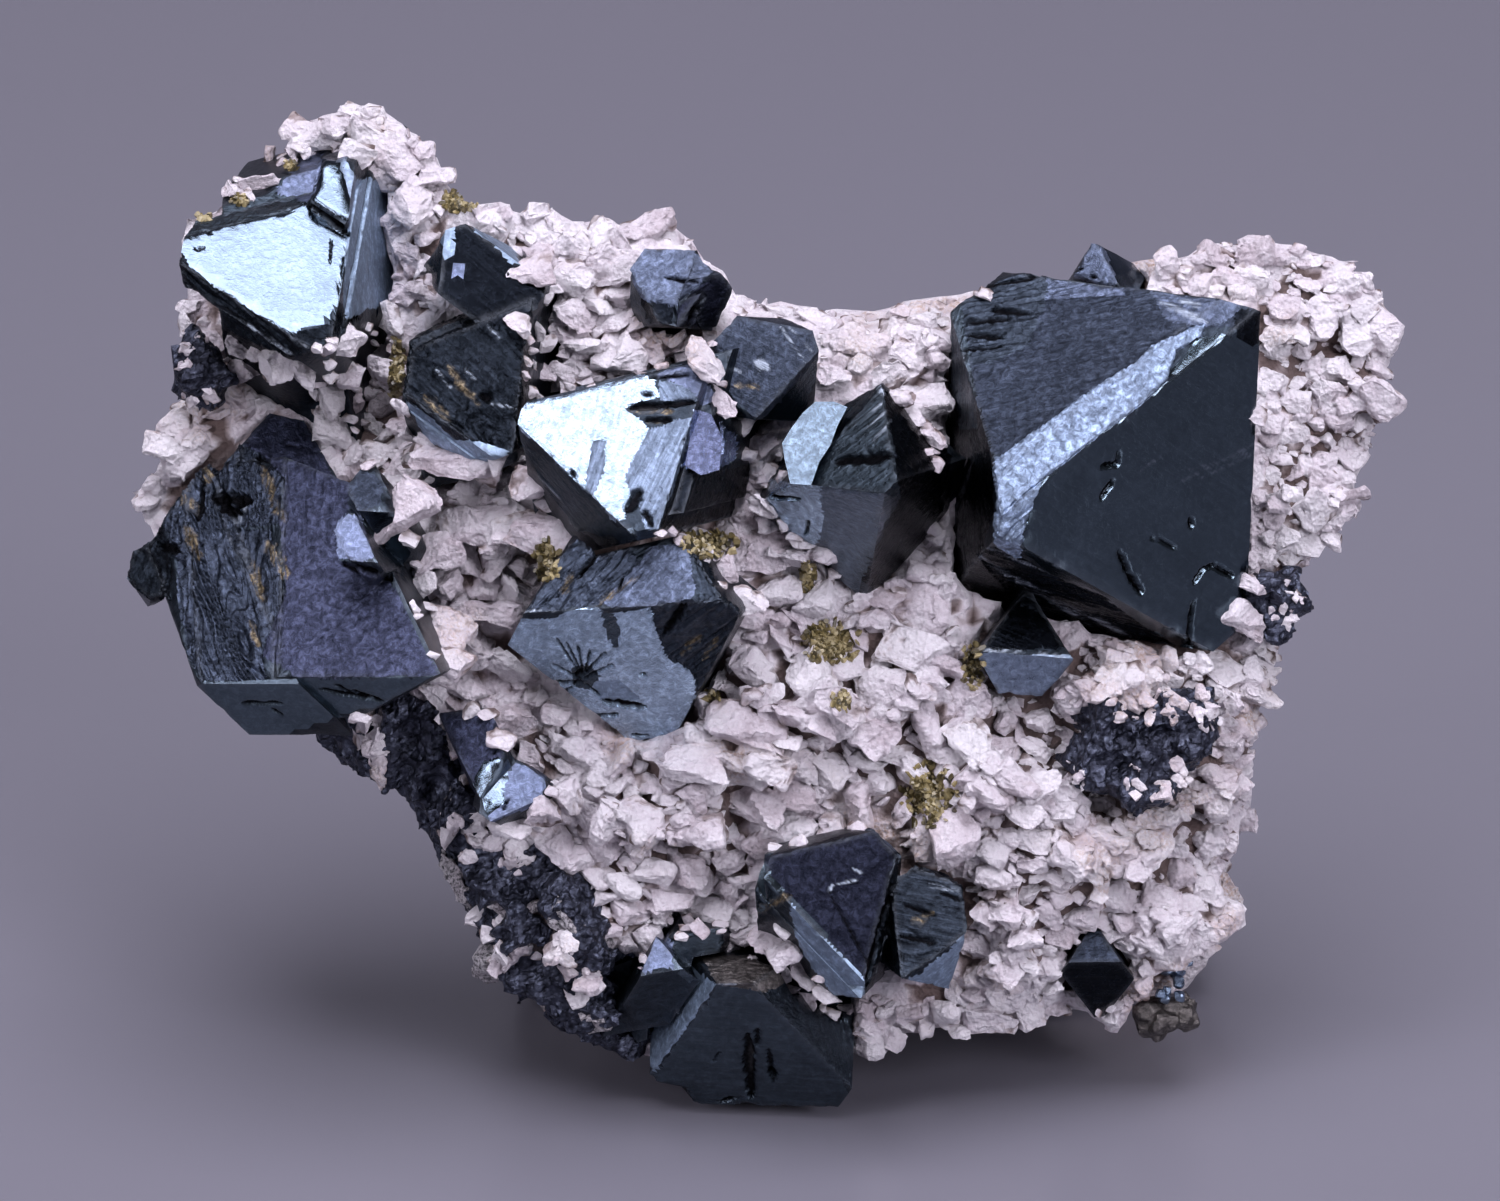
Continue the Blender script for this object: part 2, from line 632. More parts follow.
def crumbled(name, points, faces, coarse, fine, sink, material, slot="feldspar", under=0.0):
    """A piece of the rock with a broken, sugary surface. Coarse and fine are size and depth of its grains.
    Under is how much darker it is where the crust of the face covers it."""
    normals = point_normals(points, faces)
    low, low_gap, _ = grain_noise(wavered(points), coarse[0], SEED)
    high, high_gap, tone = grain_noise(points, fine[0], SEED + 1)
    push = low * coarse[1] + high * fine[1]
    push = push - low_gap * coarse[1] * COARSE_GAPS - high_gap * fine[1] * FINE_GAPS
    push += rough_noise(points, SWELL, 21, 2) * coarse[1] - sink
    points = points + normals * push[:, None]
    points = np.clip(held_inside(points, OUTLINE, OUTLINE_SLACK, HELD_ABOVE), LOWEST, HIGHEST)
    cavity = cavity_of(points, faces, normals)
    cavity += under * step(normals @ OUT, *UNDER_CRUST) * inside(seen(points * MM), OUTLINE)
    return make_mesh(
        name, points * MM, faces, material, slot, smooth=False, tone=tone,
        cavity=np.clip(cavity, *CAVITY_RANGE), **rock_marks(points),
    )


def rock_marks(points):
    """How dark or stained the rock is at points in millimetres."""
    flank = inside(seen(points * MM), DARK_FLANK).astype(float)
    return {"dark": flank, "stain": step(rough_noise(points, 7.0, 3, 3), 0.25, 0.9)}


# Loose grains: fewest and most cells along a grain, how boxy and how crumbled it is, how dark it is at half
# height, how much darker at its foot and where it only fills a gap, how much of the stain it takes, and its
# sharpest angle.
GRAIN_CELLS = (3, 10)
GRAIN_BOXY = 12.0
GRAIN_CRUMBLE = 0.07
HALF_HEIGHT_DARK = 0.25
FOOT_DARK = 1.1
FILLING_DARK = 0.3
CRACK_DARK = 0.6
STAIN_OF_GRAINS = 0.6
SHARP_GRAIN = math.radians(38.0)
# From which thickness on, in millimetres, a loose grain has the full relief.
FULL_RELIEF_SIZE = 1.3


def loose_grains(name, grains, material):
    """A piece made of separate broken grains that lie close together."""
    rng = np.random.default_rng(SEED + len(grains))
    fewest, most = GRAIN_CELLS
    cells = np.array([min(max(round(size.max() / MESH_OF_GRAINS), fewest), most) for _, _, size, _ in grains])
    points, faces, tones, cavity, room = [], [], [], [], []
    for count in np.unique(cells):
        some = [grain for grain, own in zip(grains, cells) if own == count]
        spots, axes, sizes, filling = (np.array([grain[i] for grain in some]) for i in range(4))
        own_cells = int(count)
        own, own_faces, owner = lumps(
            spots, axes, sizes, own_cells, SEED + int(count), GRAIN_BOXY, GRAIN_CRUMBLE, ledges=True,
        )
        height = (own - spots[owner]) @ OUT
        reach = np.abs(height).reshape(len(some), -1).max(axis=1)
        faces.append(own_faces + sum(len(part) for part in points))
        points.append(own)
        cavity.append(HALF_HEIGHT_DARK - FOOT_DARK * height / reach[owner] + FILLING_DARK * filling[owner])
        tones.append(rng.uniform(-1, 1, len(some))[owner])
        room.append(np.clip(sizes.min(axis=1) / FULL_RELIEF_SIZE, 0.3, 1.0)[owner])
    points, faces = np.concatenate(points), np.concatenate(faces)
    low, gap, _ = grain_noise(wavered(points), 0.95, SEED)
    push = low * 0.13 - gap * 0.12
    push = push + rough_noise(points, 2.3, 21, 2) * 0.16 + rough_noise(points, 0.9, 22, 2) * 0.07
    points = points + point_normals(points, faces) * (push * np.concatenate(room))[:, None]
    points = np.clip(points, LOWEST, HIGHEST)
    made = make_mesh(
        name, points * MM, faces, material, "feldspar", tone=np.concatenate(tones),
        cavity=np.clip(np.concatenate(cavity) + gap * CRACK_DARK, *CAVITY_RANGE), dark=np.zeros(len(points)),
        stain=rock_marks(points)["stain"] * STAIN_OF_GRAINS,
    )
    made.data.set_sharp_from_angle(angle=SHARP_GRAIN)
    return made


def build_crust(trees, material):
    """Meshes of the crust, one for each strip of the face."""
    grains = crust_grains(trees) + pale_grains(trees)
    across = np.array([grain[0][0] for grain in grains])
    bounds = np.quantile(across, np.linspace(0, 1, CRUST_STRIPS + 1))
    made = []
    for k in range(CRUST_STRIPS):
        end = bounds[k + 1] + (k == CRUST_STRIPS - 1)
        strip = [grain for grain, x in zip(grains, across) if bounds[k] <= x < end]
        made.append(loose_grains(f"feldspar_grains_{k + 1}", strip, material))
    return made


def scattered(rng, points, faces, weight, count):
    """Random spots on triangles, denser where they weigh more: triangles, and spots in millimetres."""
    pick = rng.choice(len(faces), size=count, p=weight / weight.sum())
    share = rng.dirichlet((1, 1, 1), size=count)
    return pick, np.einsum("nk,nkj->nj", share, points[faces[pick]]) / MM


# Grains fused to the back and the sides of the body: their count, length in millimetres, shape as shares of
# it, how freely they turn and how deep they sit.
BODY_GRAINS = 900
BODY_LENGTHS = (1.8, 4.6)
BODY_SHAPE = ((0.8, 1.1), (0.6, 0.9), (0.35, 0.7))
BODY_TURN = 0.5
BODY_SINK = 0.18
# They lie only on faces that are turned to the front by less than this, and behind this depth.
TURNED_AWAY = 0.35
FOREMOST = 30.0


def build_body(material):
    """The broken body of the rock, with the grains of its back and sides."""
    points, faces = solid_of("feldspar_matrix")
    normals, areas = normals_of(points, faces)
    rng = np.random.default_rng(SEED + 2)
    behind = seen(points[faces].mean(axis=1))[:, 2] < FOREMOST
    pick, spots = scattered(rng, points, faces, areas * behind * (normals @ OUT < TURNED_AWAY), BODY_GRAINS)
    axes = np.stack([turned(rng, normals[k], BODY_TURN) for k in pick])
    length = rng.uniform(*BODY_LENGTHS, size=(BODY_GRAINS, 1))
    sizes = length * np.column_stack([rng.uniform(*ends, BODY_GRAINS) for ends in BODY_SHAPE])
    spots = spots - normals[pick] * length * BODY_SINK
    kept = spots[:, 2] > sizes.max(axis=1) * 0.5 + 0.2
    grains, grain_faces, _ = lumps(spots[kept], axes[kept], sizes[kept], 5, SEED + 3)
    all_faces = np.concatenate((faces, grain_faces + len(points)))
    points, faces = fused("body", np.concatenate((points / MM, grains)), all_faces, 0.78)
    return crumbled("feldspar_body", points, faces, (2.1, 0.30), (1.1, 0.14), 0.1, material, under=0.9)
# Materials


class Nodes:
    """Short ways to build a node material."""

    def __init__(self, name):
        self.material = bpy.data.materials.new(name)
        self.material.use_nodes = True
        self.tree = self.material.node_tree
        self.shader = self.tree.nodes["Principled BSDF"]

    def link(self, value, socket):
        """Links an output to a socket, or sets the socket to a plain value."""
        if isinstance(value, bpy.types.NodeSocket):
            self.tree.links.new(value, socket)
        elif isinstance(value, (tuple, list)) and len(value) == 3 and socket.type == "RGBA":
            socket.default_value = (*value, 1.0)
        else:
            socket.default_value = value

    def add(self, kind, inputs, output=0, **settings):
        """A node with its settings and its inputs, which are given by number or name."""
        node = self.tree.nodes.new(kind)
        for key, value in settings.items():
            setattr(node, key, value)
        for key, value in inputs.items():
            self.link(value, node.inputs[key])
        return node.outputs[output]

    def math(self, operation, *values):
        return self.add("ShaderNodeMath", dict(enumerate(values)), operation=operation)

    def plus(self, *values):
        return self.math("ADD", *values)

    def minus(self, *values):
        return self.math("SUBTRACT", *values)

    def times(self, *values):
        return self.math("MULTIPLY", *values)

    def vector(self, operation, *values, output=0):
        return self.add("ShaderNodeVectorMath", dict(enumerate(values)), output, operation=operation)

    def scaled(self, value, factor):
        return self.add("ShaderNodeVectorMath", {0: value, "Scale": factor}, operation="SCALE")

    def mark(self, name, output="Fac"):
        return self.add("ShaderNodeAttribute", {}, output, attribute_name=name)

    def place(self):
        """Object coordinates in millimetres."""
        return self.scaled(self.add("ShaderNodeTexCoord", {}, "Object"), 1.0 / MM)

    def noise(self, where, scale, detail=4.0, roughness=0.55, distortion=0.0):
        inputs = {"Vector": where, "Scale": scale, "Detail": detail, "Roughness": roughness}
        return self.add("ShaderNodeTexNoise", {**inputs, "Distortion": distortion})

    def cells(self, where, scale):
        return self.add("ShaderNodeTexVoronoi", {"Vector": where, "Scale": scale})

    def ramp(self, value, *stops):
        node = self.tree.nodes.new("ShaderNodeValToRGB")
        band = node.color_ramp
        while len(band.elements) < len(stops):
            band.elements.new(0.5)
        for element, (spot, colour) in zip(band.elements, stops):
            element.position = spot
            element.color = (*colour, 1.0) if isinstance(colour, tuple) else (colour, colour, colour, 1.0)
        self.link(value, node.inputs["Fac"])
        return node.outputs["Color"]

    def span(self, value, *ends):
        """Turns the range between the first two ends into 0 to 1, or into that between the other two."""
        return self.add("ShaderNodeMapRange", dict(enumerate((value, *ends))))

    def mix(self, share, one, other, blend="MIX"):
        return self.add("ShaderNodeMix", {0: share, 6: one, 7: other}, 2, data_type="RGBA", blend_type=blend)

    def bump(self, height, distance, strength):
        return self.add("ShaderNodeBump", {"Height": height, "Distance": distance, "Strength": strength})

    def finish(self, **inputs):
        """Sets the shader's inputs, named with underscores for spaces, and gives the material."""
        for key, value in inputs.items():
            self.link(value, self.shader.inputs[key.replace("_", " ")])
        return self.material


def feldspar_material():
    """Pale pink-grey sugary feldspar, darker in the gaps and stained in places."""
    n = Nodes("feldspar_look")
    where = n.place()
    tone, stain, dark, cavity = n.mark("tone"), n.mark("stain"), n.mark("dark"), n.mark("cavity")
    blotch = n.noise(where, 0.30, 5.0, 0.6)
    fine = n.noise(where, 3.4, 6.0, 0.7)
    value = n.plus(n.times(tone, 0.16), blotch)
    value = n.plus(value, n.times(n.minus(fine, 0.5), 0.5))
    colour = n.ramp(
        value, (0.20, (0.60, 0.515, 0.555)), (0.40, (0.80, 0.725, 0.775)), (0.56, (0.88, 0.825, 0.865)),
        (0.8, (0.94, 0.90, 0.93)),
    )
    tan = n.mix(n.times(stain, n.span(fine, 0.40, 0.64)), colour, (0.55, 0.37, 0.27))
    shade = n.mix(n.times(n.span(cavity, 0.45, 0.95), 0.50), tan, (0.46, 0.34, 0.31))
    gaps = n.mix(n.times(n.span(cavity, 0.65, 1.35), 0.92), shade, (0.13, 0.085, 0.075))
    specks = n.span(n.cells(where, 1.1), 0.0, 0.15, 1.0, 0.0)
    gaps = n.mix(n.times(specks, n.span(n.noise(where, 0.5, 3.0), 0.56, 0.75)), gaps, (0.16, 0.10, 0.07))
    grime = n.mix(n.times(dark, n.span(fine, 0.38, 0.56, 1.0, 0.35)), gaps, (0.035, 0.035, 0.04))
    sugar = n.plus(n.times(n.noise(where, 2.6, 7.0, 0.75), 1.2), n.times(n.cells(where, 2.6), 0.7))
    sugar = n.plus(sugar, n.times(n.noise(where, 1.0, 3.0, 0.6), 1.3))
    normal = n.bump(sugar, 0.36 * MM, 1.0)
    return n.finish(Base_Color=grime, Roughness=0.55, Normal=normal, Specular_IOR_Level=0.35)


def soft_box(name, spot, target, size, power, colour):
    """A soft rectangular light at a spot, facing a target. All lengths in metres."""
    light = bpy.data.lights.new(name, "AREA")
    light.shape = "RECTANGLE"
    light.size, light.size_y = size
    light.energy = power
    light.color = colour
    made = bpy.data.objects.new(name, light)
    made.location = spot
    made.rotation_euler = (Vector(target) - Vector(spot)).to_track_quat("-Z", "Y").to_euler()
    bpy.context.scene.collection.objects.link(made)


# Magnetite

# Finish of a crystal face: roughness, etching, striation, tint from dusty (-1) over grey (0) to violet-blue
# (1), brightness, then the depth, pitch and waviness of its steps and the size of its mesh in millimetres.
FINISHES = {
    "mirror": (0.12, 0.18, 0.03, 0.10, 0.80, 0.0, 1.0, 0.5, 0.6),
    "steel": (0.16, 0.45, 0.25, 0.10, 0.72, 0.012, 1.0, 0.8, 0.35),
    "glossy": (0.15, 0.16, 0.10, 0.0, 0.62, 0.0, 1.0, 0.5, 0.6),
    "teal": (0.22, 0.65, 0.20, 0.1, 3.0, 0.03, 1.4, 1.2, 0.30),
    "pale": (0.30, 0.55, 0.15, 0.25, 1.6, 0.015, 1.0, 0.8, 0.35),
    "grey": (0.55, 0.50, 0.20, 0.2, 2.0, 0.0, 1.0, 0.5, 0.3),
    "soft gloss": (0.34, 0.30, 0.10, 0.1, 0.55, 0.0, 1.0, 0.5, 0.5),
    "fibrous": (0.20, 0.55, 0.34, 0.1, 2.4, 0.05, 0.7, 2.6, 0.25),
    "fans": (0.30, 0.55, 0.9, 0.3, 1.0, 0.09, 0.55, 1.8, 0.22),
    "etched": (0.42, 1.0, 0.15, 0.9, 0.36, 0.07, 0.7, 1.8, 0.28),
    "violet": (0.40, 0.7, 0.3, 0.6, 1.0, 0.04, 0.7, 1.0, 0.35),
    "navy": (0.36, 1.0, 0.15, 0.9, 0.10, 0.08, 0.6, 1.8, 0.26),
    "rough grey": (0.42, 0.9, 0.5, 0.5, 0.80, 0.10, 0.5, 1.2, 0.24),
    "dusty": (0.46, 0.9, 0.4, 0.45, 0.30, 0.06, 0.7, 1.2, 0.28),
    "ridged": (0.32, 0.6, 0.9, 0.3, 0.16, 0.28, 0.62, 2.6, 0.20),
    "curled": (0.30, 0.9, 0.9, 0.45, 0.36, 0.55, 0.55, 3.2, 0.15),
    "dark ridged": (0.28, 0.6, 0.9, 0.3, 0.07, 0.24, 0.6, 2.2, 0.20),
    "dark curled": (0.28, 0.7, 0.9, 0.3, 0.10, 0.42, 0.6, 3.4, 0.17),
    "fine ridged": (0.30, 0.6, 0.9, 0.1, 0.36, 0.10, 0.35, 0.8, 0.20),
    "stepped": (0.34, 0.7, 0.6, 0.3, 0.26, 0.32, 0.8, 1.6, 0.22),
    "crust": (0.50, 1.0, 0.2, 0.3, 2.0, 0.34, 0.45, 3.0, 0.16),
    "layered": (0.32, 0.8, 0.9, 0.4, 0.40, 0.36, 0.55, 3.0, 0.17),
    "blue": (0.24, 0.6, 0.3, 0.6, 3.6, 0.02, 0.8, 1.0, 0.35),
    "slate": (0.20, 0.4, 0.2, 0.2, 0.80, 0.0, 1.0, 0.5, 0.5),
    "vivid": (0.26, 0.8, 0.3, 0.8, 0.62, 0.0, 1.0, 1.0, 0.3),
    "dark": (0.22, 0.4, 0.3, 0.1, 0.42, 0.04, 0.7, 0.8, 0.40),
    "black": (0.26, 0.5, 0.5, 0.4, 0.05, 0.06, 0.6, 0.8, 0.40),
    "gilded": (0.45, 0.9, 0.6, -1.0, 0.7, 0.18, 0.5, 1.4, 0.20),
    "plain": (0.34, 0.6, 0.3, 0.2, 0.22, 0.05, 0.9, 0.8, 0.60),
}
# The columns of a finish that make the look, the steps and the mesh.
FACE_LOOK = ("rough", "etch", "ridge", "tint", "shine")
STEPS = slice(5, 8)
MESH_SIZE = 8

# Each crystal node: its outline as it is seen, the areas on it, where a later one covers an earlier one,
# then the lines on it.
CRYSTALS = {
    "magnetite_upper_left": (
        ring(-41.0, 26.8, -39.5, 27.5, -37.2, 28.4, -34.4, 29.3, -33.1, 31.0, -30.9, 32.6, -29.1, 31.9,
            -27.5, 30.6, -26.2, 29.2, -25.7, 26.3, -26.0, 24.3, -25.2, 22.3, -26.2, 21.2, -27.7, 20.3,
            -29.8, 19.1, -32.4, 17.9, -33.2, 17.6, -35.1, 18.4, -36.7, 19.1, -38.5, 20.0, -39.5, 20.7,
            -40.3, 22.3, -40.8, 23.8, -41.1, 25.6),
        (
            face("dark ridged", -34, 0.0, -41.1, 25.6, -40.8, 25.2, -40.3, 24.0, -38.5, 22.7, -36.7, 21.5,
                -35.1, 20.5, -32.9, 19.2, -30.2, 20.0, -29.1, 20.9, -27.7, 20.5, -29.8, 19.1, -32.4, 17.9,
                -33.2, 16.6, -36.7, 18.0, -39.5, 19.4, -41.7, 22.3),
            face("grey", 82, 0.0, -28.3, 30.2, -27.3, 30.4, -25.2, 29.5, -24.4, 26.3, -24.8, 22.3,
                -27.2, 20.9, -29.1, 20.2, -29.4, 21.6, -29.1, 23.8, -29.0, 26.1),
            face("violet", 62, -0.15, -34.2, 29.3, -32.9, 31.0, -31.1, 33.1, -30.7, 31.7, -31.2, 29.5,
                -31.8, 28.7, -33.8, 28.8),
            face("fine ridged", 14, -0.12, -41.7, 26.5, -39.5, 27.9, -37.2, 28.8, -34.2, 29.5, -32.1, 28.8,
                -33.1, 27.9, -36.7, 27.2, -39.0, 26.6, -40.9, 26.1),
            face("mirror", -33, 0.0, -40.9, 26.1, -39.0, 26.6, -36.7, 27.2, -33.1, 27.9, -32.1, 28.6,
                -31.5, 28.1, -30.2, 27.0, -29.0, 26.1, -29.1, 23.8, -29.3, 21.6, -30.2, 20.5, -31.1, 19.9,
                -32.4, 19.5, -32.9, 19.2, -33.6, 19.6, -35.1, 20.5, -36.7, 21.5, -38.5, 22.7, -40.3, 24.0,
                -40.8, 25.2),
            face("mirror", 70, 0.3, -30.8, 31.7, -29.9, 31.6, -29.4, 30.8, -29.0, 29.5, -28.8, 28.8,
                -29.0, 27.2, -30.2, 27.8, -31.5, 28.8, -31.1, 29.5),
            face("pale", 70, 0.1, -29.9, 31.6, -29.1, 31.9, -28.3, 30.4, -28.6, 28.1, -28.8, 26.8,
                -29.0, 27.2, -28.8, 28.8, -29.4, 30.8),
        ),
        strokes("slit", -31.9, 28.7, -28.8, 26.3, 0.5, -39.3, 26.7, -38.7, 26.4, 0.15,
            -39.9, 25.2, -39.3, 25.4, 0.2, -30.1, 25.9, -30.2, 24.3, 0.12)
        + strokes("glint", -36.2, 19.8, -33.1, 17.7, 0.28, -27.5, 25.2, -27.6, 23.6, 0.12),
    ),
    "magnetite_left": (
        ring(-33.4, 16.1, -32.4, 16.1, -31.6, 14.6, -30.6, 12.3, -29.5, 10.0, -27.9, 9.5, -26.2, 8.7,
            -25.9, 7.8, -26.3, 6.8, -25.5, 5.8, -24.4, 3.3, -25.5, 1.5, -24.4, -0.7, -23.4, -3.2, -22.4, -5.1,
            -22.9, -5.9, -24.3, -6.7, -25.5, -7.4, -29.1, -8.2, -30.6, -8.6, -33.1, -9.6, -34.5, -9.8,
            -36.8, -9.2, -37.5, -8.3, -39.0, -6.6, -40.3, -4.4, -41.1, -1.4, -41.8, 0.0, -43.3, 0.3,
            -44.4, 1.1, -44.9, 2.0, -44.7, 4.0, -43.9, 5.1, -43.1, 6.5, -42.3, 8.1, -41.0, 10.0, -39.2, 11.9,
            -37.4, 14.1, -35.1, 15.5),
        (
            face("etched", 100, 0.0, -33.4, 16.0, -32.4, 16.1, -28.6, 8.4, -29.0, 6.1, -29.5, 2.9, -25.9, 1.5,
                -22.3, -5.4, -32.4, -5.6, -35.1, -3.9, -33.4, 0.8, -33.6, 2.9, -33.8, 5.8, -33.4, 8.7,
                -35.1, 10.5, -36.7, 11.5, -35.1, 14.1),
            face("curled", 112, 0.0, -40.3, -4.4, -41.1, -1.4, -41.3, 2.9, -38.5, 5.1, -34.5, 5.1, -33.4, 0.8,
                -35.1, -3.9, -34.7, -5.7, -39.5, -5.8),
            face("curled", 98, 0.15, -39.2, 11.9, -36.7, 11.5, -35.1, 10.5, -33.4, 8.7, -33.8, 5.4,
                -38.5, 5.1, -41.0, 2.9, -43.9, 3.6, -45.3, 7.2, -41.0, 10.1),
            face("violet", 60, -0.2, -35.1, 15.5, -33.4, 16.1, -35.1, 14.1, -36.7, 11.5, -39.2, 11.9,
                -38.5, 14.1),
            face("soft gloss", 2, 0.0, -39.5, -5.8, -32.4, -5.6, -22.3, -5.5, -22.9, -5.9, -25.5, -7.4,
                -29.1, -8.2, -32.0, -9.2, -34.5, -10.0, -36.8, -9.5, -39.2, -7.5),
            face("dark curled", 70, 0.0, -44.9, 2.0, -44.7, 4.0, -43.9, 5.2, -42.1, 6.1, -41.6, 2.9,
                -41.7, -0.1, -43.3, 0.0, -44.4, 0.9),
            face("violet", 0, 0.0, -29.6, 5.8, -29.0, 6.2, -28.0, 6.2, -27.6, 4.7, -27.0, 3.1, -27.9, 2.7,
                -29.5, 3.1, -29.8, 4.7),
            face("dark", 40, 0.0, -27.9, 6.0, -26.7, 6.7, -25.5, 5.8, -24.4, 3.3, -25.2, 2.0, -25.7, 1.6,
                -27.0, 2.8),
            face("dusty", 40, 0.0, -29.1, 10.1, -27.7, 9.5, -26.0, 8.4, -26.6, 6.8, -27.9, 6.3, -29.0, 6.4,
                -28.8, 8.3),
        ),
        strokes("slit", -38.6, 7.4, -36.0, 7.2, 1.1, -38.0, 6.7, -36.8, 6.4, 0.9,
            -30.9, -6.4, -27.2, -7.1, 0.3, -29.8, -6.1, -28.8, -6.6, 0.25, -28.6, -6.5, -26.4, -7.3, 0.3,
            -36.5, -7.4, -33.7, -7.4, 0.25, -34.4, -7.8, -33.6, -8.3, 0.2, -33.3, 11.3, -32.4, 11.1, 0.2,
            -29.3, 2.7, -25.7, 1.5, 0.45, -42.4, 4.0, -41.0, 3.5, 0.8, -39.1, 9.4, -39.7, 5.8, 0.5,
            -35.4, 10.5, -34.7, 9.7, 0.7)
        + strokes("brown", -35.1, 10.0, -34.4, 7.2, 0.7, -34.4, 7.2, -33.4, 5.8, 0.6,
            -34.8, 4.2, -33.3, 1.6, 0.9, -41.3, 8.3, -39.9, 6.4, 0.8, -40.6, 5.2, -39.7, 3.2, 0.9,
            -39.3, 10.2, -38.8, 8.5, 0.5, -35.8, 2.9, -35.1, 0.0, 0.5, -36.0, -1.4, -35.4, -3.2, 0.4)
        + strokes("glint", -36.1, 6.9, -37.0, 5.6, 0.3),
    ),
    "magnetite_upper_pair": (
        ring(-22.6, 25.9, -22.9, 27.0, -21.9, 27.6, -20.9, 27.9, -19.8, 27.2, -17.6, 25.8, -16.7, 24.3,
            -16.9, 23.6, -16.2, 22.7, -14.7, 22.3, -15.5, 21.0, -16.5, 20.3, -18.0, 19.8, -16.5, 19.1,
            -16.5, 14.4, -17.0, 13.0, -16.2, 11.2, -16.9, 10.3, -18.3, 10.5, -20.1, 10.4, -21.9, 11.2,
            -23.4, 12.3, -24.4, 13.7, -24.8, 14.8, -24.8, 17.3, -24.6, 20.0, -22.3, 21.0, -22.4, 23.4,
            -23.0, 24.3),
        (
            face("black", 140, 0.0, -23.0, 24.3, -22.9, 27.0, -19.8, 27.7, -16.5, 24.3, -14.4, 22.3,
                -15.5, 21.0, -18.0, 19.7, -21.2, 20.7, -24.6, 20.0),
            face("grey", 80, 0.05, -22.1, 24.6, -22.3, 26.3, -21.9, 27.6, -21.1, 27.2, -21.4, 24.8),
            face("grey", -36, 0.0, -19.8, 27.5, -17.6, 26.1, -16.4, 24.3, -17.1, 24.2, -18.3, 25.5,
                -19.8, 26.4),
            face("violet", 0, 0.0, -21.6, 24.3, -20.4, 24.3, -20.6, 23.3, -21.4, 23.3),
            face("dark curled", -46, 0.0, -25.2, 19.8, -21.2, 20.7, -18.0, 19.7, -15.8, 19.1, -15.8, 11.2,
                -18.0, 10.8, -21.4, 11.5, -23.0, 13.3, -25.2, 14.8),
            face("grey", -36, 0.0, -24.8, 14.4, -23.0, 13.3, -21.4, 11.5, -19.4, 11.5, -17.3, 10.8,
                -18.0, 10.0, -20.5, 10.0, -23.4, 11.5),
        ),
        strokes("brown", -21.7, 16.9, -20.4, 15.3, 0.3, -21.2, 16.0, -19.4, 14.0, 0.45,
            -23.4, 14.8, -21.6, 13.0, 0.5)
        + strokes("glint", -22.6, 16.7, -21.4, 15.3, 0.14, -20.5, 16.7, -19.7, 15.9, 0.12,
            -19.0, 19.8, -18.0, 18.9, 0.12, -18.7, 14.2, -16.7, 13.8, 0.15)
        + strokes("slit", -19.4, 14.8, -18.6, 14.6, 0.6),
    ),
    "magnetite_top": (
        ring(-8.8, 24.6, -8.3, 25.2, -7.2, 25.3, -6.5, 25.6, -5.2, 25.4, -4.5, 25.1, -3.6, 24.8, -2.9, 24.1,
            -2.4, 23.8, -1.7, 23.2, -1.3, 21.7, -1.4, 20.5, -2.2, 20.2, -3.0, 19.4, -4.3, 19.4, -6.1, 19.3,
            -7.2, 19.8, -7.9, 20.7, -8.8, 21.6, -8.8, 23.0),
        (
            face("rough grey", 35, 0.0, -9.3, 24.6, -8.3, 25.6, -5.0, 25.9, -2.4, 23.9, -3.6, 22.7,
                -4.2, 22.3, -5.4, 21.2, -6.5, 21.5, -7.9, 21.6),
            face("black", 35, -0.2, -7.9, 21.6, -6.5, 21.5, -5.4, 21.2, -5.8, 19.1, -7.2, 19.4),
            face("navy", 60, 0.15, -5.3, 20.9, -4.2, 22.3, -3.2, 22.8, -2.4, 23.9, -1.1, 23.0, -1.1, 20.3,
                -3.0, 19.1, -5.3, 19.1),
        ),
        strokes("slit", -6.1, 23.3, -3.8, 22.8, 0.28, -3.9, 21.2, -4.3, 20.0, 0.5)
        + strokes("glint", -4.2, 20.8, -3.2, 21.8, 0.16),
    ),
    "magnetite_upper_centre": (
        ring(-1.2, 20.5, 0.7, 20.2, 2.5, 19.8, 4.2, 19.4, 5.0, 18.9, 5.2, 18.0, 4.9, 16.2, 4.2, 14.1,
            3.2, 12.6, 2.5, 11.8, 1.8, 12.3, 0.7, 13.0, -0.4, 13.7, -1.1, 14.6, -1.8, 15.5, -2.4, 16.2,
            -2.4, 16.9, -2.0, 17.3, -2.5, 18.7, -2.9, 19.8),
        (
            face("dusty", 150, 0.0, -3.6, 20.9, 5.8, 20.2, 5.2, 18.0, 3.6, 15.9, 2.2, 14.4, 0.9, 12.8,
                -1.1, 14.4, -3.6, 17.3),
            face("dark", 60, -0.05, 5.3, 18.0, 4.9, 16.0, 4.2, 14.1, 2.5, 11.5, 0.9, 12.8, 2.2, 14.4,
                3.6, 15.9),
        ),
        strokes("glint", 2.2, 19.7, 4.0, 17.1, 0.14, 2.7, 19.8, 4.5, 17.9, 0.14, -1.6, 16.9, -0.6, 16.4, 0.15,
            0.4, 17.1, 1.3, 16.7, 0.8)
        + strokes("brown", -1.1, 15.5, 0.7, 15.3, 0.3, -2.2, 14.8, -1.4, 14.3, 0.9),
    ),
    "magnetite_centre": (
        ring(-17.0, 13.0, -16.3, 14.1, -15.1, 14.5, -13.3, 14.6, -12.2, 15.1, -10.8, 15.4, -9.0, 15.9,
            -7.5, 16.2, -6.5, 16.6, -5.0, 16.8, -3.8, 16.4, -3.2, 15.9, -2.7, 15.1, -3.2, 14.3, -2.2, 13.3,
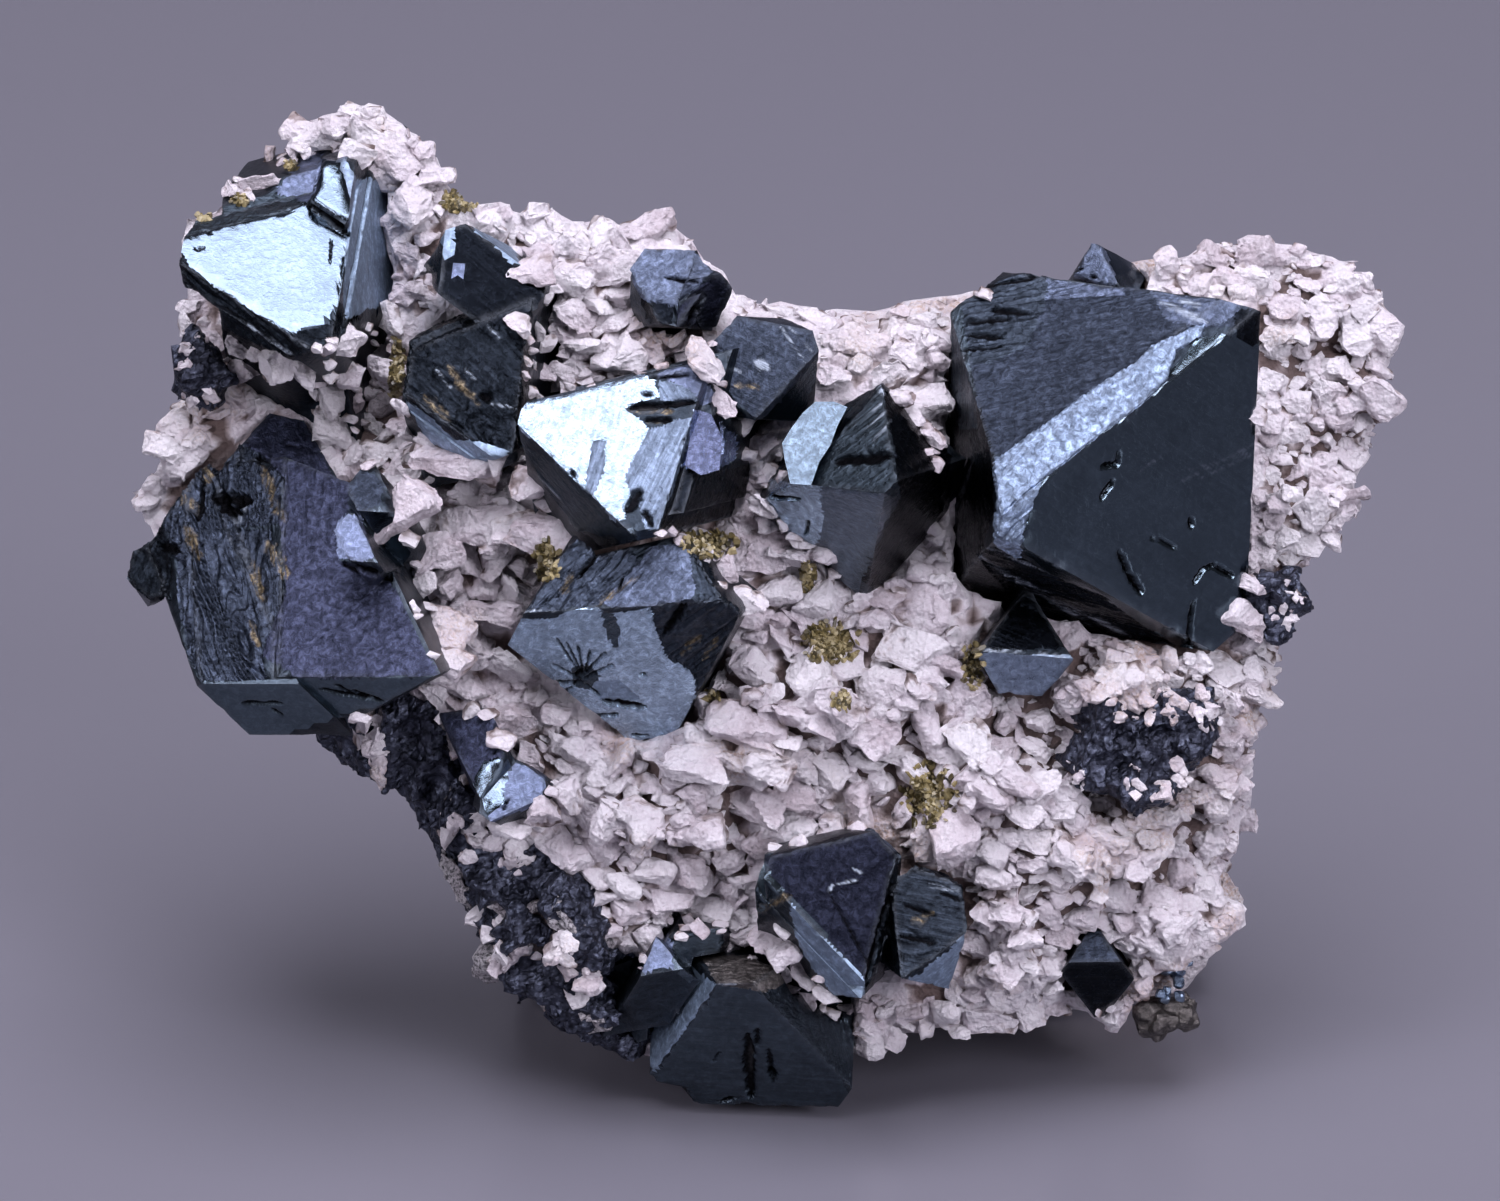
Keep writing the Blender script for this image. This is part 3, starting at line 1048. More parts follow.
            -1.1, 12.3, -0.6, 11.2, -0.9, 10.5, -0.1, 9.4, -0.4, 7.9, -0.9, 6.5, -2.5, 5.8, -4.3, 5.6,
            -5.8, 5.4, -6.8, 5.1, -7.9, 5.1, -9.3, 4.6, -10.2, 4.9, -11.5, 4.9, -12.4, 5.1, -13.3, 6.4,
            -14.7, 8.5, -16.4, 10.5),
        (
            face("fibrous", 78, 0.0, -17.3, 13.0, -16.3, 14.4, -10.8, 15.6, -7.9, 16.3, -6.8, 15.9,
                -6.5, 14.7, -7.9, 14.3, -9.0, 13.7, -7.9, 13.0, -7.2, 12.4, -7.9, 11.2, -9.0, 8.7, -8.5, 7.6,
                -9.0, 5.8, -10.4, 5.8, -10.9, 7.2, -11.9, 7.9, -12.9, 8.8, -14.0, 9.9, -15.5, 11.4),
            face("fans", 75, -0.06, -11.3, 11.5, -10.3, 11.5, -10.6, 8.8, -11.4, 7.4, -11.9, 7.9),
            face("fans", 65, -0.02, -7.2, 12.4, -4.0, 13.3, -4.3, 10.8, -5.4, 8.7, -6.5, 5.1, -7.5, 5.1,
                -8.1, 6.9, -8.5, 7.6, -9.0, 8.7, -7.9, 11.2),
            face("violet", 160, -0.05, -6.8, 16.4, -5.0, 17.1, -3.6, 16.6, -2.2, 14.4, -3.6, 14.1, -4.3, 15.3,
                -6.5, 16.0),
            face("fans", 120, -0.02, -6.5, 15.9, -4.2, 15.3, -3.6, 14.3, -6.5, 14.4),
            face("blue", 80, 0.0, -4.0, 13.8, -2.7, 13.3, -2.0, 11.5, -2.3, 9.4, -3.6, 9.0, -4.9, 9.7,
                -4.3, 11.5),
            face("blue", 80, -0.1, -2.2, 13.0, -0.9, 11.7, -0.9, 10.1, -2.2, 9.5, -1.9, 11.5),
            face("black", 30, 0.0, -5.0, 9.5, -2.2, 9.4, 0.0, 9.7, -0.4, 6.4, -4.3, 5.4, -6.5, 5.1,
                -5.6, 7.4),
            face("dark", -42, 0.0, -14.0, 9.9, -12.9, 8.8, -10.9, 7.2, -9.9, 5.4, -6.8, 4.9, -6.8, 4.0,
                -10.8, 4.0, -12.6, 5.1, -16.9, 11.5),
        ),
        strokes("slit", -8.6, 13.9, -4.0, 14.3, 0.45, -7.5, 13.0, -5.6, 13.0, 0.4,
            -7.8, 14.9, -7.0, 14.8, 0.25, -3.7, 13.8, -2.9, 12.3, 0.2, -7.2, 16.1, -4.3, 16.3, 0.3,
            -8.8, 6.5, -7.9, 7.9, 0.9, -12.9, 9.4, -12.6, 8.7, 0.4, -2.0, 12.3, -1.9, 10.5, 0.25,
            -7.6, 6.5, -7.0, 5.4, 0.4)
        + strokes("brown", -8.5, 13.6, -5.6, 13.6, 0.5, -7.3, 12.8, -6.2, 12.8, 0.3)
        + strokes("glint", -15.0, 8.7, -13.6, 7.3, 0.22),
    ),
    "magnetite_centre_lower": (
        ring(-12.4, 4.3, -10.8, 4.6, -7.9, 4.6, -6.5, 4.7, -5.0, 4.0, -4.3, 4.0, -3.2, 2.9, -2.5, 0.8,
            -1.1, -0.3, -0.7, -1.5, -1.8, -3.6, -2.9, -5.7, -3.6, -6.4, -4.3, -7.9, -4.9, -9.3, -5.8, -10.0,
            -7.9, -10.2, -10.1, -10.1, -11.1, -9.2, -11.5, -8.4, -12.4, -8.0, -13.7, -7.2, -14.7, -5.9,
            -15.8, -4.8, -16.9, -3.6, -17.8, -2.8, -17.1, -1.4, -16.5, -0.3, -15.5, 0.8, -14.0, 2.6),
        (
            face("teal", 62, 0.0, -18.0, -2.8, -16.9, -1.4, -14.0, -1.3, -13.3, -0.8, -12.2, -0.5,
                -11.1, -0.4, -10.4, -1.0, -9.0, -0.8, -7.2, -0.5, -6.5, -2.8, -5.8, -4.3, -5.0, -4.6,
                -3.6, -4.3, -4.0, -7.5, -5.2, -10.4, -7.9, -10.7, -10.8, -10.4, -15.1, -6.4),
            face("layered", 52, 0.0, -17.6, -1.0, -15.8, 0.8, -12.2, 5.1, -9.3, 4.6, -7.9, 2.9, -10.8, -0.1,
                -13.7, -0.7, -16.5, -0.8),
            face("rough grey", 52, 0.08, -10.8, -0.1, -7.9, 2.9, -7.2, 4.0, -4.3, 4.0, -3.6, 1.8, -4.3, 0.0,
                -7.2, -0.5, -10.1, -0.5),
            face("stepped", 55, 0.0, -7.2, -0.5, -4.3, 0.2, -2.5, 0.8, -0.4, -0.7, -0.7, -2.8, -3.6, -6.8,
                -4.3, -5.1, -6.1, -3.9),
            face("stepped", 110, 0.0, -4.3, 4.0, -2.7, 2.9, -2.0, 0.6, -3.6, 0.0, -4.2, 1.8),
            face("dark", 62, -0.12, -10.8, -0.8, -9.9, -1.0, -9.3, -2.1, -9.6, -3.6, -10.2, -2.8,
                -10.5, -1.8),
            face("dark", 62, -0.02, -12.9, -4.9, -11.5, -4.6, -10.8, -5.4, -11.5, -6.4, -12.8, -6.1),
            face("grey", 10, -0.1, -11.4, -5.9, -9.5, -5.7, -7.9, -7.2, -10.8, -7.2),
        ),
        strokes("slit", -14.7, -6.0, -12.1, -5.9, 0.32, -10.6, -7.3, -7.5, -7.7, 0.4,
            -11.5, -8.4, -9.5, -8.2, 0.25, -8.5, -9.7, -7.3, -9.7, 0.2, -7.9, -5.3, -7.5, -5.4, 0.25,
            -12.7, -5.4, -12.0, -5.3, 0.3, -12.2, -5.4, -13.9, -2.8, 0.15, -12.1, -5.3, -13.2, -3.1, 0.15,
            -12.0, -5.3, -12.4, -3.3, 0.15, -11.9, -5.3, -11.5, -3.6, 0.15, -11.9, -5.3, -10.4, -3.7, 0.15,
            -11.9, -5.6, -9.9, -4.6, 0.15, -12.2, -5.7, -14.2, -4.6, 0.13, -12.4, -6.0, -13.9, -6.9, 0.13,
            -11.8, -6.0, -10.8, -6.9, 0.13, -6.2, -2.6, -4.7, -0.5, 0.6, -10.8, 3.8, -12.5, 1.6, 0.4,
            -9.6, 0.6, -9.1, 1.8, 0.3)
        + strokes("brown", -11.1, -0.3, -7.9, 1.8, 0.45, -13.5, 0.6, -12.8, 2.0, 0.45,
            -5.0, -4.0, -3.6, -2.8, 0.5, -3.4, -4.4, -2.4, -2.8, 0.45)
        + strokes("glint", -16.7, -0.8, -15.0, -0.7, 0.22, -14.8, -6.1, -13.5, -7.3, 0.3),
    ),
    "magnetite_right_of_centre": (
        ring(2.2, 11.3, 2.9, 12.3, 3.6, 13.1, 4.5, 14.3, 5.4, 14.6, 6.5, 15.5, 7.3, 16.1, 8.8, 16.1,
            9.3, 15.5, 10.1, 14.4, 11.1, 13.0, 12.1, 11.5, 12.6, 10.5, 13.3, 9.0, 13.7, 6.5, 12.6, 5.1,
            11.1, 2.9, 9.3, 1.1, 7.8, 0.4, 7.2, 0.2, 6.7, 1.8, 6.1, 2.9, 5.8, 4.3, 4.3, 4.3, 2.9, 5.1,
            1.8, 6.9, 1.4, 7.4, 1.6, 8.6, 2.5, 8.5, 2.6, 9.4, 2.4, 10.5),
        (
            face("slate", 5, 0.0, 1.5, 8.7, 5.0, 8.2, 9.3, 7.7, 10.8, 7.4, 9.5, 5.1, 8.1, 1.5, 7.2, -0.3,
                5.8, 1.8, 0.7, 5.8),
            face("teal", 80, 0.03, 1.5, 8.7, 5.0, 8.2, 5.3, 5.8, 4.9, 4.0, 3.2, 4.3, 1.1, 6.5),
            face("fine ridged", 28, 0.0, 4.3, 14.8, 7.3, 16.6, 9.0, 16.6, 9.7, 14.4, 10.3, 11.5, 10.8, 7.4,
                4.5, 8.3, 6.3, 12.6, 7.0, 13.8),
            face("black", 110, 0.0, 9.0, 16.6, 14.4, 10.8, 14.4, 5.8, 9.3, 0.0, 8.1, 1.5, 10.8, 7.4,
                10.3, 11.5, 9.7, 14.4),
        ),
        strokes("glint", 7.3, 12.5, 9.5, 14.2, 0.22, 7.9, 11.8, 9.8, 13.7, 0.22, 8.8, 11.4, 10.2, 13.0, 0.18,
            8.9, 16.0, 9.6, 14.8, 0.7)
        + strokes("slit", 1.5, 7.4, 3.6, 7.3, 0.3, 4.2, 5.8, 4.0, 4.7, 0.2, 6.1, 10.0, 10.3, 10.5, 0.8),
    ),
    "magnetite_right": (
        ring(14.5, 20.2, 15.0, 21.5, 16.9, 21.7, 18.0, 22.9, 19.8, 23.4, 20.5, 23.7, 22.6, 23.3, 23.7, 23.5,
            25.2, 23.1, 26.2, 23.0, 27.7, 22.3, 29.5, 22.2, 30.9, 21.7, 33.1, 21.7, 34.5, 21.4, 35.6, 21.0,
            36.8, 20.6, 36.8, 18.0, 36.5, 15.9, 36.1, 14.4, 35.8, 12.3, 36.8, 11.5, 36.7, 9.4, 36.1, 7.2,
            36.4, 4.3, 36.1, 2.8, 35.2, 2.8, 34.9, 0.0, 34.5, -2.6, 33.6, -3.4, 32.6, -4.0, 30.9, -3.7,
            28.8, -3.4, 26.6, -2.8, 24.6, -2.4, 23.2, -3.6, 23.4, -4.5, 22.1, -5.7, 20.9, -6.9, 18.3, -6.9,
            17.6, -6.4, 16.9, -5.0, 16.4, -3.9, 15.1, -2.8, 14.4, 0.0, 14.0, 2.9, 14.0, 11.5),
        (
            face("glossy", -30, 0.0, 29.8, 16.0, 32.4, 18.9, 34.9, 19.1, 37.4, 18.4, 37.4, -4.3, 32.6, -4.6,
                30.9, -3.6, 25.2, 0.3, 22.1, 1.6, 19.8, 3.3, 19.6, 5.1, 20.1, 7.2, 20.9, 9.0, 25.2, 12.3,
                27.7, 14.1),
            face("dusty", 8, 0.0, 13.7, 22.3, 25.2, 24.1, 37.4, 21.6, 34.9, 19.8, 32.4, 19.4, 30.6, 18.0,
                28.8, 18.0, 27.3, 16.6, 20.9, 12.3, 18.0, 10.3, 16.9, 11.2, 16.5, 13.0, 15.8, 15.9,
                14.7, 18.7),
            face("stepped", 6, 0.1, 14.0, 22.3, 21.6, 24.1, 21.2, 21.6, 20.1, 18.4, 17.3, 17.1, 15.1, 16.9),
            face("rough grey", 8, -0.1, 21.6, 24.1, 26.6, 23.6, 27.0, 22.0, 22.3, 21.7, 21.2, 21.6),
            face("rough grey", -25, -0.05, 28.8, 22.3, 35.2, 22.0, 35.2, 20.5, 32.7, 19.6, 29.8, 20.2),
            face("black", -30, 0.0, 34.9, 20.7, 37.4, 21.2, 37.4, 18.0, 35.1, 18.7),
            face("crust", 40, 0.22, 30.1, 15.9, 30.6, 17.9, 32.5, 18.9, 32.7, 19.8, 31.6, 19.6, 28.8, 18.3,
                27.7, 17.1, 25.2, 15.6, 20.9, 12.5, 18.3, 10.6, 17.3, 10.2, 17.8, 7.2, 17.5, 4.2, 19.4, 2.8,
                19.7, 5.1, 20.4, 7.2, 21.2, 8.8, 25.3, 12.0, 27.9, 13.8),
            face("black", 86, 0.0, 12.9, 22.3, 14.9, 21.6, 16.0, 15.9, 16.7, 13.0, 17.5, 10.1, 17.4, 5.8,
                16.4, 2.9, 14.7, 1.5, 12.9, 0.8),
            face("fine ridged", 86, 0.0, 14.4, 21.6, 15.1, 21.5, 16.1, 15.9, 16.4, 12.3, 15.0, 12.3,
                14.4, 15.9),
            face("dark ridged", -31, 0.0, 16.4, 3.3, 17.7, 4.0, 22.1, 1.6, 25.2, 0.3, 30.9, -3.6, 26.6, -3.2,
                21.6, -3.2, 18.0, 0.0),
            face("black", -31, 0.0, 13.7, 2.9, 16.4, 3.1, 18.7, 0.4, 22.3, -2.1, 23.7, -3.2, 16.2, -3.7,
                13.7, -2.8),
            face("pale", 0, 0.0, 16.2, -3.8, 23.2, -3.9, 23.7, -4.5, 22.1, -6.1, 20.5, -7.5, 18.0, -7.5,
                16.9, -5.4),
        ),
        strokes("glint", 16.5, 3.1, 24.6, -1.9, 0.32, 18.3, 1.8, 27.4, -2.6, 0.32, 16.9, 3.8, 21.6, 1.9, 0.2,
            16.6, -3.6, 19.4, -3.6, 0.32, 20.7, -3.8, 22.7, -4.1, 0.28, 29.5, 21.5, 32.9, 20.0, 0.5,
            30.9, 21.6, 32.4, 21.2, 0.4)
        + strokes("slit", 25.3, 9.7, 26.5, 9.9, 0.3, 26.5, 10.7, 26.4, 9.7, 0.22, 26.1, 8.7, 25.2, 7.3, 0.3,
            26.5, 3.5, 27.3, 1.9, 0.35, 27.2, 2.0, 28.2, 0.6, 0.4, 31.9, 1.3, 32.6, 2.3, 0.25,
            32.6, 2.3, 33.4, 2.6, 0.25, 33.3, 2.5, 34.7, 1.8, 0.3, 31.9, -0.1, 31.6, -1.5, 0.28,
            31.7, -1.4, 31.4, -3.4, 0.25, 31.2, -3.3, 31.7, -3.6, 0.5, 31.6, 5.8, 31.8, 5.4, 0.35,
            28.8, 4.6, 30.6, 3.8, 0.12, 15.5, 20.0, 18.6, 20.3, 0.45, 15.7, 19.1, 18.0, 18.9, 0.4,
            17.3, 20.9, 20.1, 20.7, 0.35, 15.2, 18.0, 18.0, 18.3, 0.3, 16.9, 22.6, 20.9, 23.4, 0.3)
        + strokes("scratch", 28.0, 9.3, 30.0, 10.7, 0.16, 30.9, 8.5, 36.8, 11.5, 0.2,
            32.4, 8.8, 36.8, 10.8, 0.15, 31.6, 9.4, 36.3, 10.7, 0.14),
    ),
    "magnetite_top_right": (
        ring(23.3, 23.6, 23.9, 25.2, 24.7, 25.8, 25.2, 25.5, 25.9, 25.1, 26.7, 24.6, 27.3, 23.9, 28.5, 23.4,
            28.8, 22.8, 28.1, 22.3, 27.0, 22.6, 25.2, 22.9, 24.1, 23.3),
        (
            face("rough grey", 70, 0.0, 22.9, 23.4, 23.9, 25.6, 25.2, 25.9, 25.7, 24.8, 26.5, 22.8,
                25.2, 22.3),
            face("mirror", 30, 0.0, 25.2, 25.9, 27.3, 24.8, 29.5, 23.0, 28.1, 22.0, 26.5, 22.6, 25.7, 24.8),
        ),
        strokes("slit", 23.4, 23.7, 23.9, 23.9, 0.2, 24.4, 23.3, 24.9, 23.2, 0.2),
    ),
    "magnetite_lower_pair": (
        ring(0.9, -18.5, 3.6, -17.8, 7.2, -16.9, 10.3, -16.1, 10.6, -17.8, 11.9, -17.8, 13.5, -18.1,
            14.4, -19.2, 15.5, -19.2, 15.9, -21.5, 16.1, -22.6, 15.7, -24.1, 15.8, -25.8, 14.7, -27.6,
            13.3, -28.2, 10.1, -28.6, 9.0, -28.0, 8.1, -28.7, 6.8, -28.6, 5.4, -27.6, 4.0, -25.1, 2.9, -23.3,
            1.1, -23.0, -0.1, -23.3, -0.4, -22.3, 0.1, -20.8),
        (
            face("navy", -46, 0.0, 0.9, -18.4, 10.3, -15.8, 10.8, -17.9, 10.4, -20.1, 8.3, -27.4, 7.2, -26.2,
                5.8, -24.4, 3.6, -21.9, 2.5, -20.8, 1.4, -19.4),
            face("grey", -46, 0.0, 2.9, -21.7, 5.4, -24.3, 8.5, -27.4, 8.1, -29.1, 6.1, -28.7, 4.3, -26.2,
                3.2, -24.1),
            face("glossy", 60, 0.0, 0.7, -18.8, 2.5, -20.8, 1.6, -21.7, -0.4, -23.3, -0.7, -21.9),
            face("navy", -46, -0.12, 5.8, -21.0, 7.8, -23.0, 9.7, -21.5, 10.4, -20.1, 10.6, -17.9,
                7.9, -20.1),
            face("ridged", 168, 0.0, 10.1, -20.5, 10.6, -17.6, 14.0, -17.9, 15.7, -20.0, 16.1, -22.4,
                14.9, -24.6, 12.2, -26.7, 9.9, -28.0, 9.3, -24.4),
            face("grey", 40, 0.0, 12.1, -26.9, 14.9, -24.6, 16.2, -23.1, 16.2, -26.2, 13.7, -28.7, 9.7, -28.9,
                10.1, -27.9),
        ),
        strokes("glint", 5.7, -21.0, 5.9, -20.5, 0.22, 5.9, -20.5, 7.8, -20.1, 0.2,
            7.4, -19.3, 8.0, -19.6, 0.2, 12.6, -18.4, 14.0, -18.7, 0.35, 12.9, -20.4, 15.0, -20.8, 0.3)
        + strokes("slit", 10.3, -20.4, 8.4, -27.6, 0.45, 11.1, -21.9, 13.3, -22.6, 0.3,
            10.8, -24.1, 13.3, -24.6, 0.35, 5.7, -21.0, 8.5, -26.0, 0.15, 13.7, -21.0, 15.2, -21.5, 0.25)
        + strokes("brown", -0.3, -23.0, 1.3, -22.0, 0.6, 1.3, -22.0, 2.9, -21.2, 0.5,
            11.8, -18.1, 12.5, -18.8, 0.6, 11.6, -23.3, 13.2, -22.4, 0.6),
    ),
    "magnetite_bottom": (
        ring(-2.7, -26.0, -1.4, -25.8, 2.4, -26.0, 2.5, -27.6, 3.6, -29.4, 5.8, -30.2, 7.5, -29.8, 7.7, -31.6,
            7.7, -35.6, 7.2, -36.1, 5.8, -36.6, 2.5, -36.3, 1.8, -36.8, 0.4, -36.1, -2.5, -36.8, -3.7, -36.5,
            -4.5, -35.1, -7.2, -34.5, -7.3, -33.4, -6.8, -31.6, -7.0, -29.4, -6.5, -27.6, -3.6, -26.2),
        (
            face("dark", 0, 0.0, -2.3, -27.6, -1.2, -27.6, 2.5, -28.9, 5.8, -33.0, 6.6, -34.5, 7.9, -37.0,
                -7.9, -37.4, -7.5, -34.3, -6.3, -33.4),
            face("grey", 55, 0.0, -4.3, -26.2, -2.4, -27.6, -6.8, -33.9, -7.9, -33.2, -6.8, -30.2),
            face("gilded", 0, 0.0, -3.6, -25.5, 2.9, -25.5, 2.7, -27.6, 1.1, -28.2, -0.7, -27.9, -2.4, -27.5),
            face("dark", -60, 0.0, 2.5, -28.9, 3.6, -27.6, 8.3, -28.7, 8.3, -36.6, 6.6, -34.5, 5.6, -32.8),
        ),
        strokes("slit", -0.2, -31.3, 0.1, -35.8, 0.75, 0.5, -30.9, 0.5, -32.0, 0.35,
            1.3, -32.3, 1.7, -34.6, 0.3, 1.4, -33.8, 1.7, -34.3, 0.6, -2.6, -33.1, -2.2, -32.5, 0.15,
            -1.0, -35.8, -2.2, -36.1, 0.3)
        + strokes("brown", 0.0, -32.3, 0.1, -34.1, 0.25)
        + strokes("glint", -2.4, -27.6, -1.0, -27.6, 0.15),
    ),
    "magnetite_lower_left": (
        ring(-22.5, -7.7, -21.2, -7.7, -20.3, -8.2, -18.6, -8.7, -18.7, -9.7, -17.8, -10.9, -17.1, -11.6,
            -16.2, -11.6, -14.7, -12.4, -15.2, -14.5, -16.9, -15.4, -18.5, -15.9, -19.3, -16.9, -19.6, -16.1,
            -21.2, -14.0, -21.2, -12.9, -20.7, -11.5, -21.0, -10.0, -21.9, -8.7),
        (
            face("etched", -60, 0.0, -23.0, -7.5, -20.3, -7.5, -18.0, -8.7, -17.6, -11.3, -19.1, -11.6,
                -19.9, -13.0, -19.6, -14.0, -21.2, -12.9, -21.9, -10.0),
            face("mirror", 20, 0.05, -20.0, -13.3, -19.2, -11.7, -18.0, -11.3, -17.0, -11.8, -17.6, -12.9,
                -17.8, -14.0, -17.5, -14.6, -18.9, -15.3, -19.4, -14.3),
            face("violet", 20, 0.0, -17.0, -11.8, -14.4, -12.2, -15.1, -14.6, -17.5, -15.5, -18.7, -16.1,
                -18.8, -15.3, -17.5, -14.6, -17.8, -13.6),
        ),
        strokes("slit", -18.3, -10.7, -18.5, -11.0, 0.3, -17.4, -14.3, -17.8, -15.1, 0.2),
    ),
    "magnetite_bottom_right": (
        ring(22.4, -27.3, 22.7, -26.4, 23.0, -25.5, 24.1, -24.2, 24.8, -23.9, 25.9, -24.8, 27.0, -25.0,
            27.6, -27.1, 27.0, -28.0, 25.9, -28.7, 24.1, -30.2, 23.4, -30.0, 22.6, -28.1),
        (
            face("black", 0, 0.0, 21.9, -26.0, 28.0, -26.0, 28.0, -30.5, 21.9, -30.5),
            face("dusty", 0, 0.0, 21.9, -23.7, 28.0, -23.7, 28.0, -26.0, 21.9, -26.0),
        ),
        [],
    ),
    "magnetite_bottom_left": (
        ring(-7.6, -26.9, -6.8, -24.4, -6.2, -23.7, -5.6, -24.8, -4.3, -24.1, -2.2, -23.7, -2.4, -25.8,
            -6.8, -31.6, -7.9, -32.3, -8.6, -28.7),
        (
            face("violet", 20, 0.1, -7.9, -27.0, -6.8, -24.3, -6.2, -23.5, -5.5, -24.8, -5.5, -26.4),
            face("dark", 0, 0.0, -5.5, -24.8, -1.8, -23.3, -2.2, -26.0, -4.3, -27.6, -5.6, -26.4),
        ),
        [],
    ),
}

# Facets that stand out of a crystal's solid: node, outline, a spot of the solid at whose depth they lie, how
# far they stand out of it and their normal to the right, up and out of the face, then finish and direction.
BLOCKS = (
    (
        "magnetite_right_of_centre",
        ring(2.3, 11.3, 2.9, 12.3, 3.8, 13.5, 4.7, 14.3, 6.1, 14.3, 7.0, 13.9, 6.3, 12.6, 5.8, 11.2,
            5.0, 10.0, 4.4, 8.3, 2.9, 8.4, 2.5, 10.1),
        (6.8, 12.3), 0.35, (-0.1, 0.4, 0.91), "steel", 60,
    ),
    (
        "magnetite_centre",
        ring(-4.0, 13.8, -2.8, 13.4, -2.0, 11.7, -2.2, 9.4, -3.5, 9.0, -4.7, 9.7, -4.3, 11.7),
        (-3.6, 11.5), 0.3, (0.12, 0.41, 0.9), "vivid", 80,
    ),
)
# Their depth in millimetres, how much they taper behind, and their mesh in millimetres.
BLOCK_DEPTH = 3.0
BLOCK_TAPER = 0.8
BLOCK_MESH = 0.4

# The lower right corner: its outline, then finish, seen middle, depth, reach, count, sizes and boxiness of
# the lumps of the dull brown lump and of the shiny crystals above it.
CORNER_OUTLINE = ring(29.0, -25.2, 30.9, -25.0, 32.4, -26.2, 32.1, -28.7, 31.9, -30.7, 30.8, -31.7,
    26.4, -29.6, 28.8, -28.7)
CORNER = (
    ("gilded", (29.6, -30.0), -11.3, (1.9, 0.7, 1.3), 24, (1.5, 2.5), 9.0),
    ("pale", (30.6, -27.2), -9.8, (1.1, 1.5, 0.7), 13, (1.2, 2.2), 1.0),
)
# From which boxiness on lumps are fused, and the sharpest smooth angle of the rest.
FUSED_FROM = 2.0
SHARP_CORNER = math.radians(25.0)

# When a triangle belongs to a flat face: how far its corners may lie off it, in millimetres, and how near
# its normal has to be for triangles above each area in square metres.
OFF_PLANE = 0.02
NEAR_NORMALS = ((2e-8, 0.996), (2e-9, 0.3))


def facets_of(points, faces):
    """Numbers the flat faces that the triangles of a crystal belong to. Also gives each face's normal."""
    normals, areas = normals_of(points, faces)
    planes = []
    owner = np.full(len(faces), -1)
    corners = points[faces] / MM
    for i in np.argsort(-areas):
        best, error = -1, OFF_PLANE
        for k, (normal, offset) in enumerate(planes):
            if any(areas[i] > area and normal @ normals[i] < near for area, near in NEAR_NORMALS):
                continue
            off = np.abs(corners[i] @ normal - offset).max()
            if off < error:
                best, error = k, off
        if best < 0:
            planes.append((normals[i], float((corners[i] @ normals[i]).mean())))
            best = len(planes) - 1
        owner[i] = best
    return owner, np.array([normal for normal, _ in planes])


def split_case(tri, mid, cut):
    """The triangles that a triangle becomes when some of its edges ab, bc and ca are cut in the middle."""
    total = sum(cut)
    if total == 0:
        return [tri]
    if total == 3:
        a, b, c = tri.T
        x, y, z = mid.T
        return [np.stack(part, axis=1) for part in ((a, x, z), (x, b, y), (z, y, c), (x, y, z))]
    turn = cut.index(True) if total == 1 else (cut.index(False) + 1) % 3
    a, b, c = (tri[:, (turn + i) % 3] for i in range(3))
    x, y = mid[:, turn], mid[:, (turn + 1) % 3]
    if total == 1:
        return [np.stack(part, axis=1) for part in ((a, x, c), (x, b, c))]
    return [np.stack(part, axis=1) for part in ((x, b, y), (a, x, y), (a, y, c))]


# How often the triangles of a mesh are split at most.
MOST_SPLITS = 12


def refine(points, faces, owner, size_of):
    """Splits the edges of triangles until none is longer than the size in millimetres wanted there."""
    for _ in range(MOST_SPLITS):
        pairs = np.concatenate((faces[:, [0, 1]], faces[:, [1, 2]], faces[:, [2, 0]]))
        edges, index = np.unique(np.sort(pairs, axis=1), axis=0, return_inverse=True)
        index = index.reshape(-1)
        limit = np.full(len(edges), FAR)
        sizes = size_of(points[faces].mean(axis=1), owner)
        np.minimum.at(limit, index, np.tile(sizes, 3) * MM)
        length = np.linalg.norm(points[edges[:, 0]] - points[edges[:, 1]], axis=1)
        split = length > limit
        if not split.any():
            break
        number = np.full(len(edges), -1)
        number[split] = len(points) + np.arange(split.sum())
        points = np.concatenate((points, points[edges[split]].mean(axis=1)))
        middle = number[index].reshape(3, -1).T
        new_faces, new_owner = [], []
        for case in range(8):
            cut = [bool(case & bit) for bit in (1, 2, 4)]
            rows = np.all((middle >= 0) == cut, axis=1)
            if not rows.any():
                continue
            for part in split_case(faces[rows], middle[rows], cut):
                new_faces.append(part)
                new_owner.append(owner[rows])
        faces, owner = np.concatenate(new_faces), np.concatenate(new_owner)
    return points, faces, owner


def area_at(spots, areas):
    """The number of the last area that each seen spot lies in, or -1. The borders are ragged."""
    found = np.full(len(spots), -1)
    ragged = np.column_stack([rough_noise(spots, 1.1, seed, 3) for seed in (41, 43)]) * 0.11
    spots = spots[:, :2] + ragged
    for k, (outline, *_) in enumerate(areas):
        found[inside(spots, outline)] = k
    return found


def under_edge(node, spots):
    """How far seen spots lie under the broken lower edge of a crystal, in millimetres."""
    x, w = LOWER_EDGES[node].T
    return np.interp(spots[:, 0], x, w) - spots[:, 1]


# The mesh of the crystals, in millimetres: a factor on all of it, its size on a line and on a lower edge,
# and how much it grows with the distance from them.
MESH_FACTOR = 1.7
LINE_MESH = 0.13
LINE_GROWTH = 0.5
EDGE_MESH = 0.16
EDGE_GROWTH = 0.4

# Faces that are turned to the front by more than this have areas. The others are plain.
TO_FRONT = 0.05
# Direction of the striation on plain faces in degrees, more areas than any crystal has, how far most crystals
# are drawn back in millimetres, and how far their lower edge is lifted at most.
PLAIN_DIRECTION = 45.0
MOST_AREAS = 32
USUAL_SINK = 1.8
MOST_LIFTED = 1.5


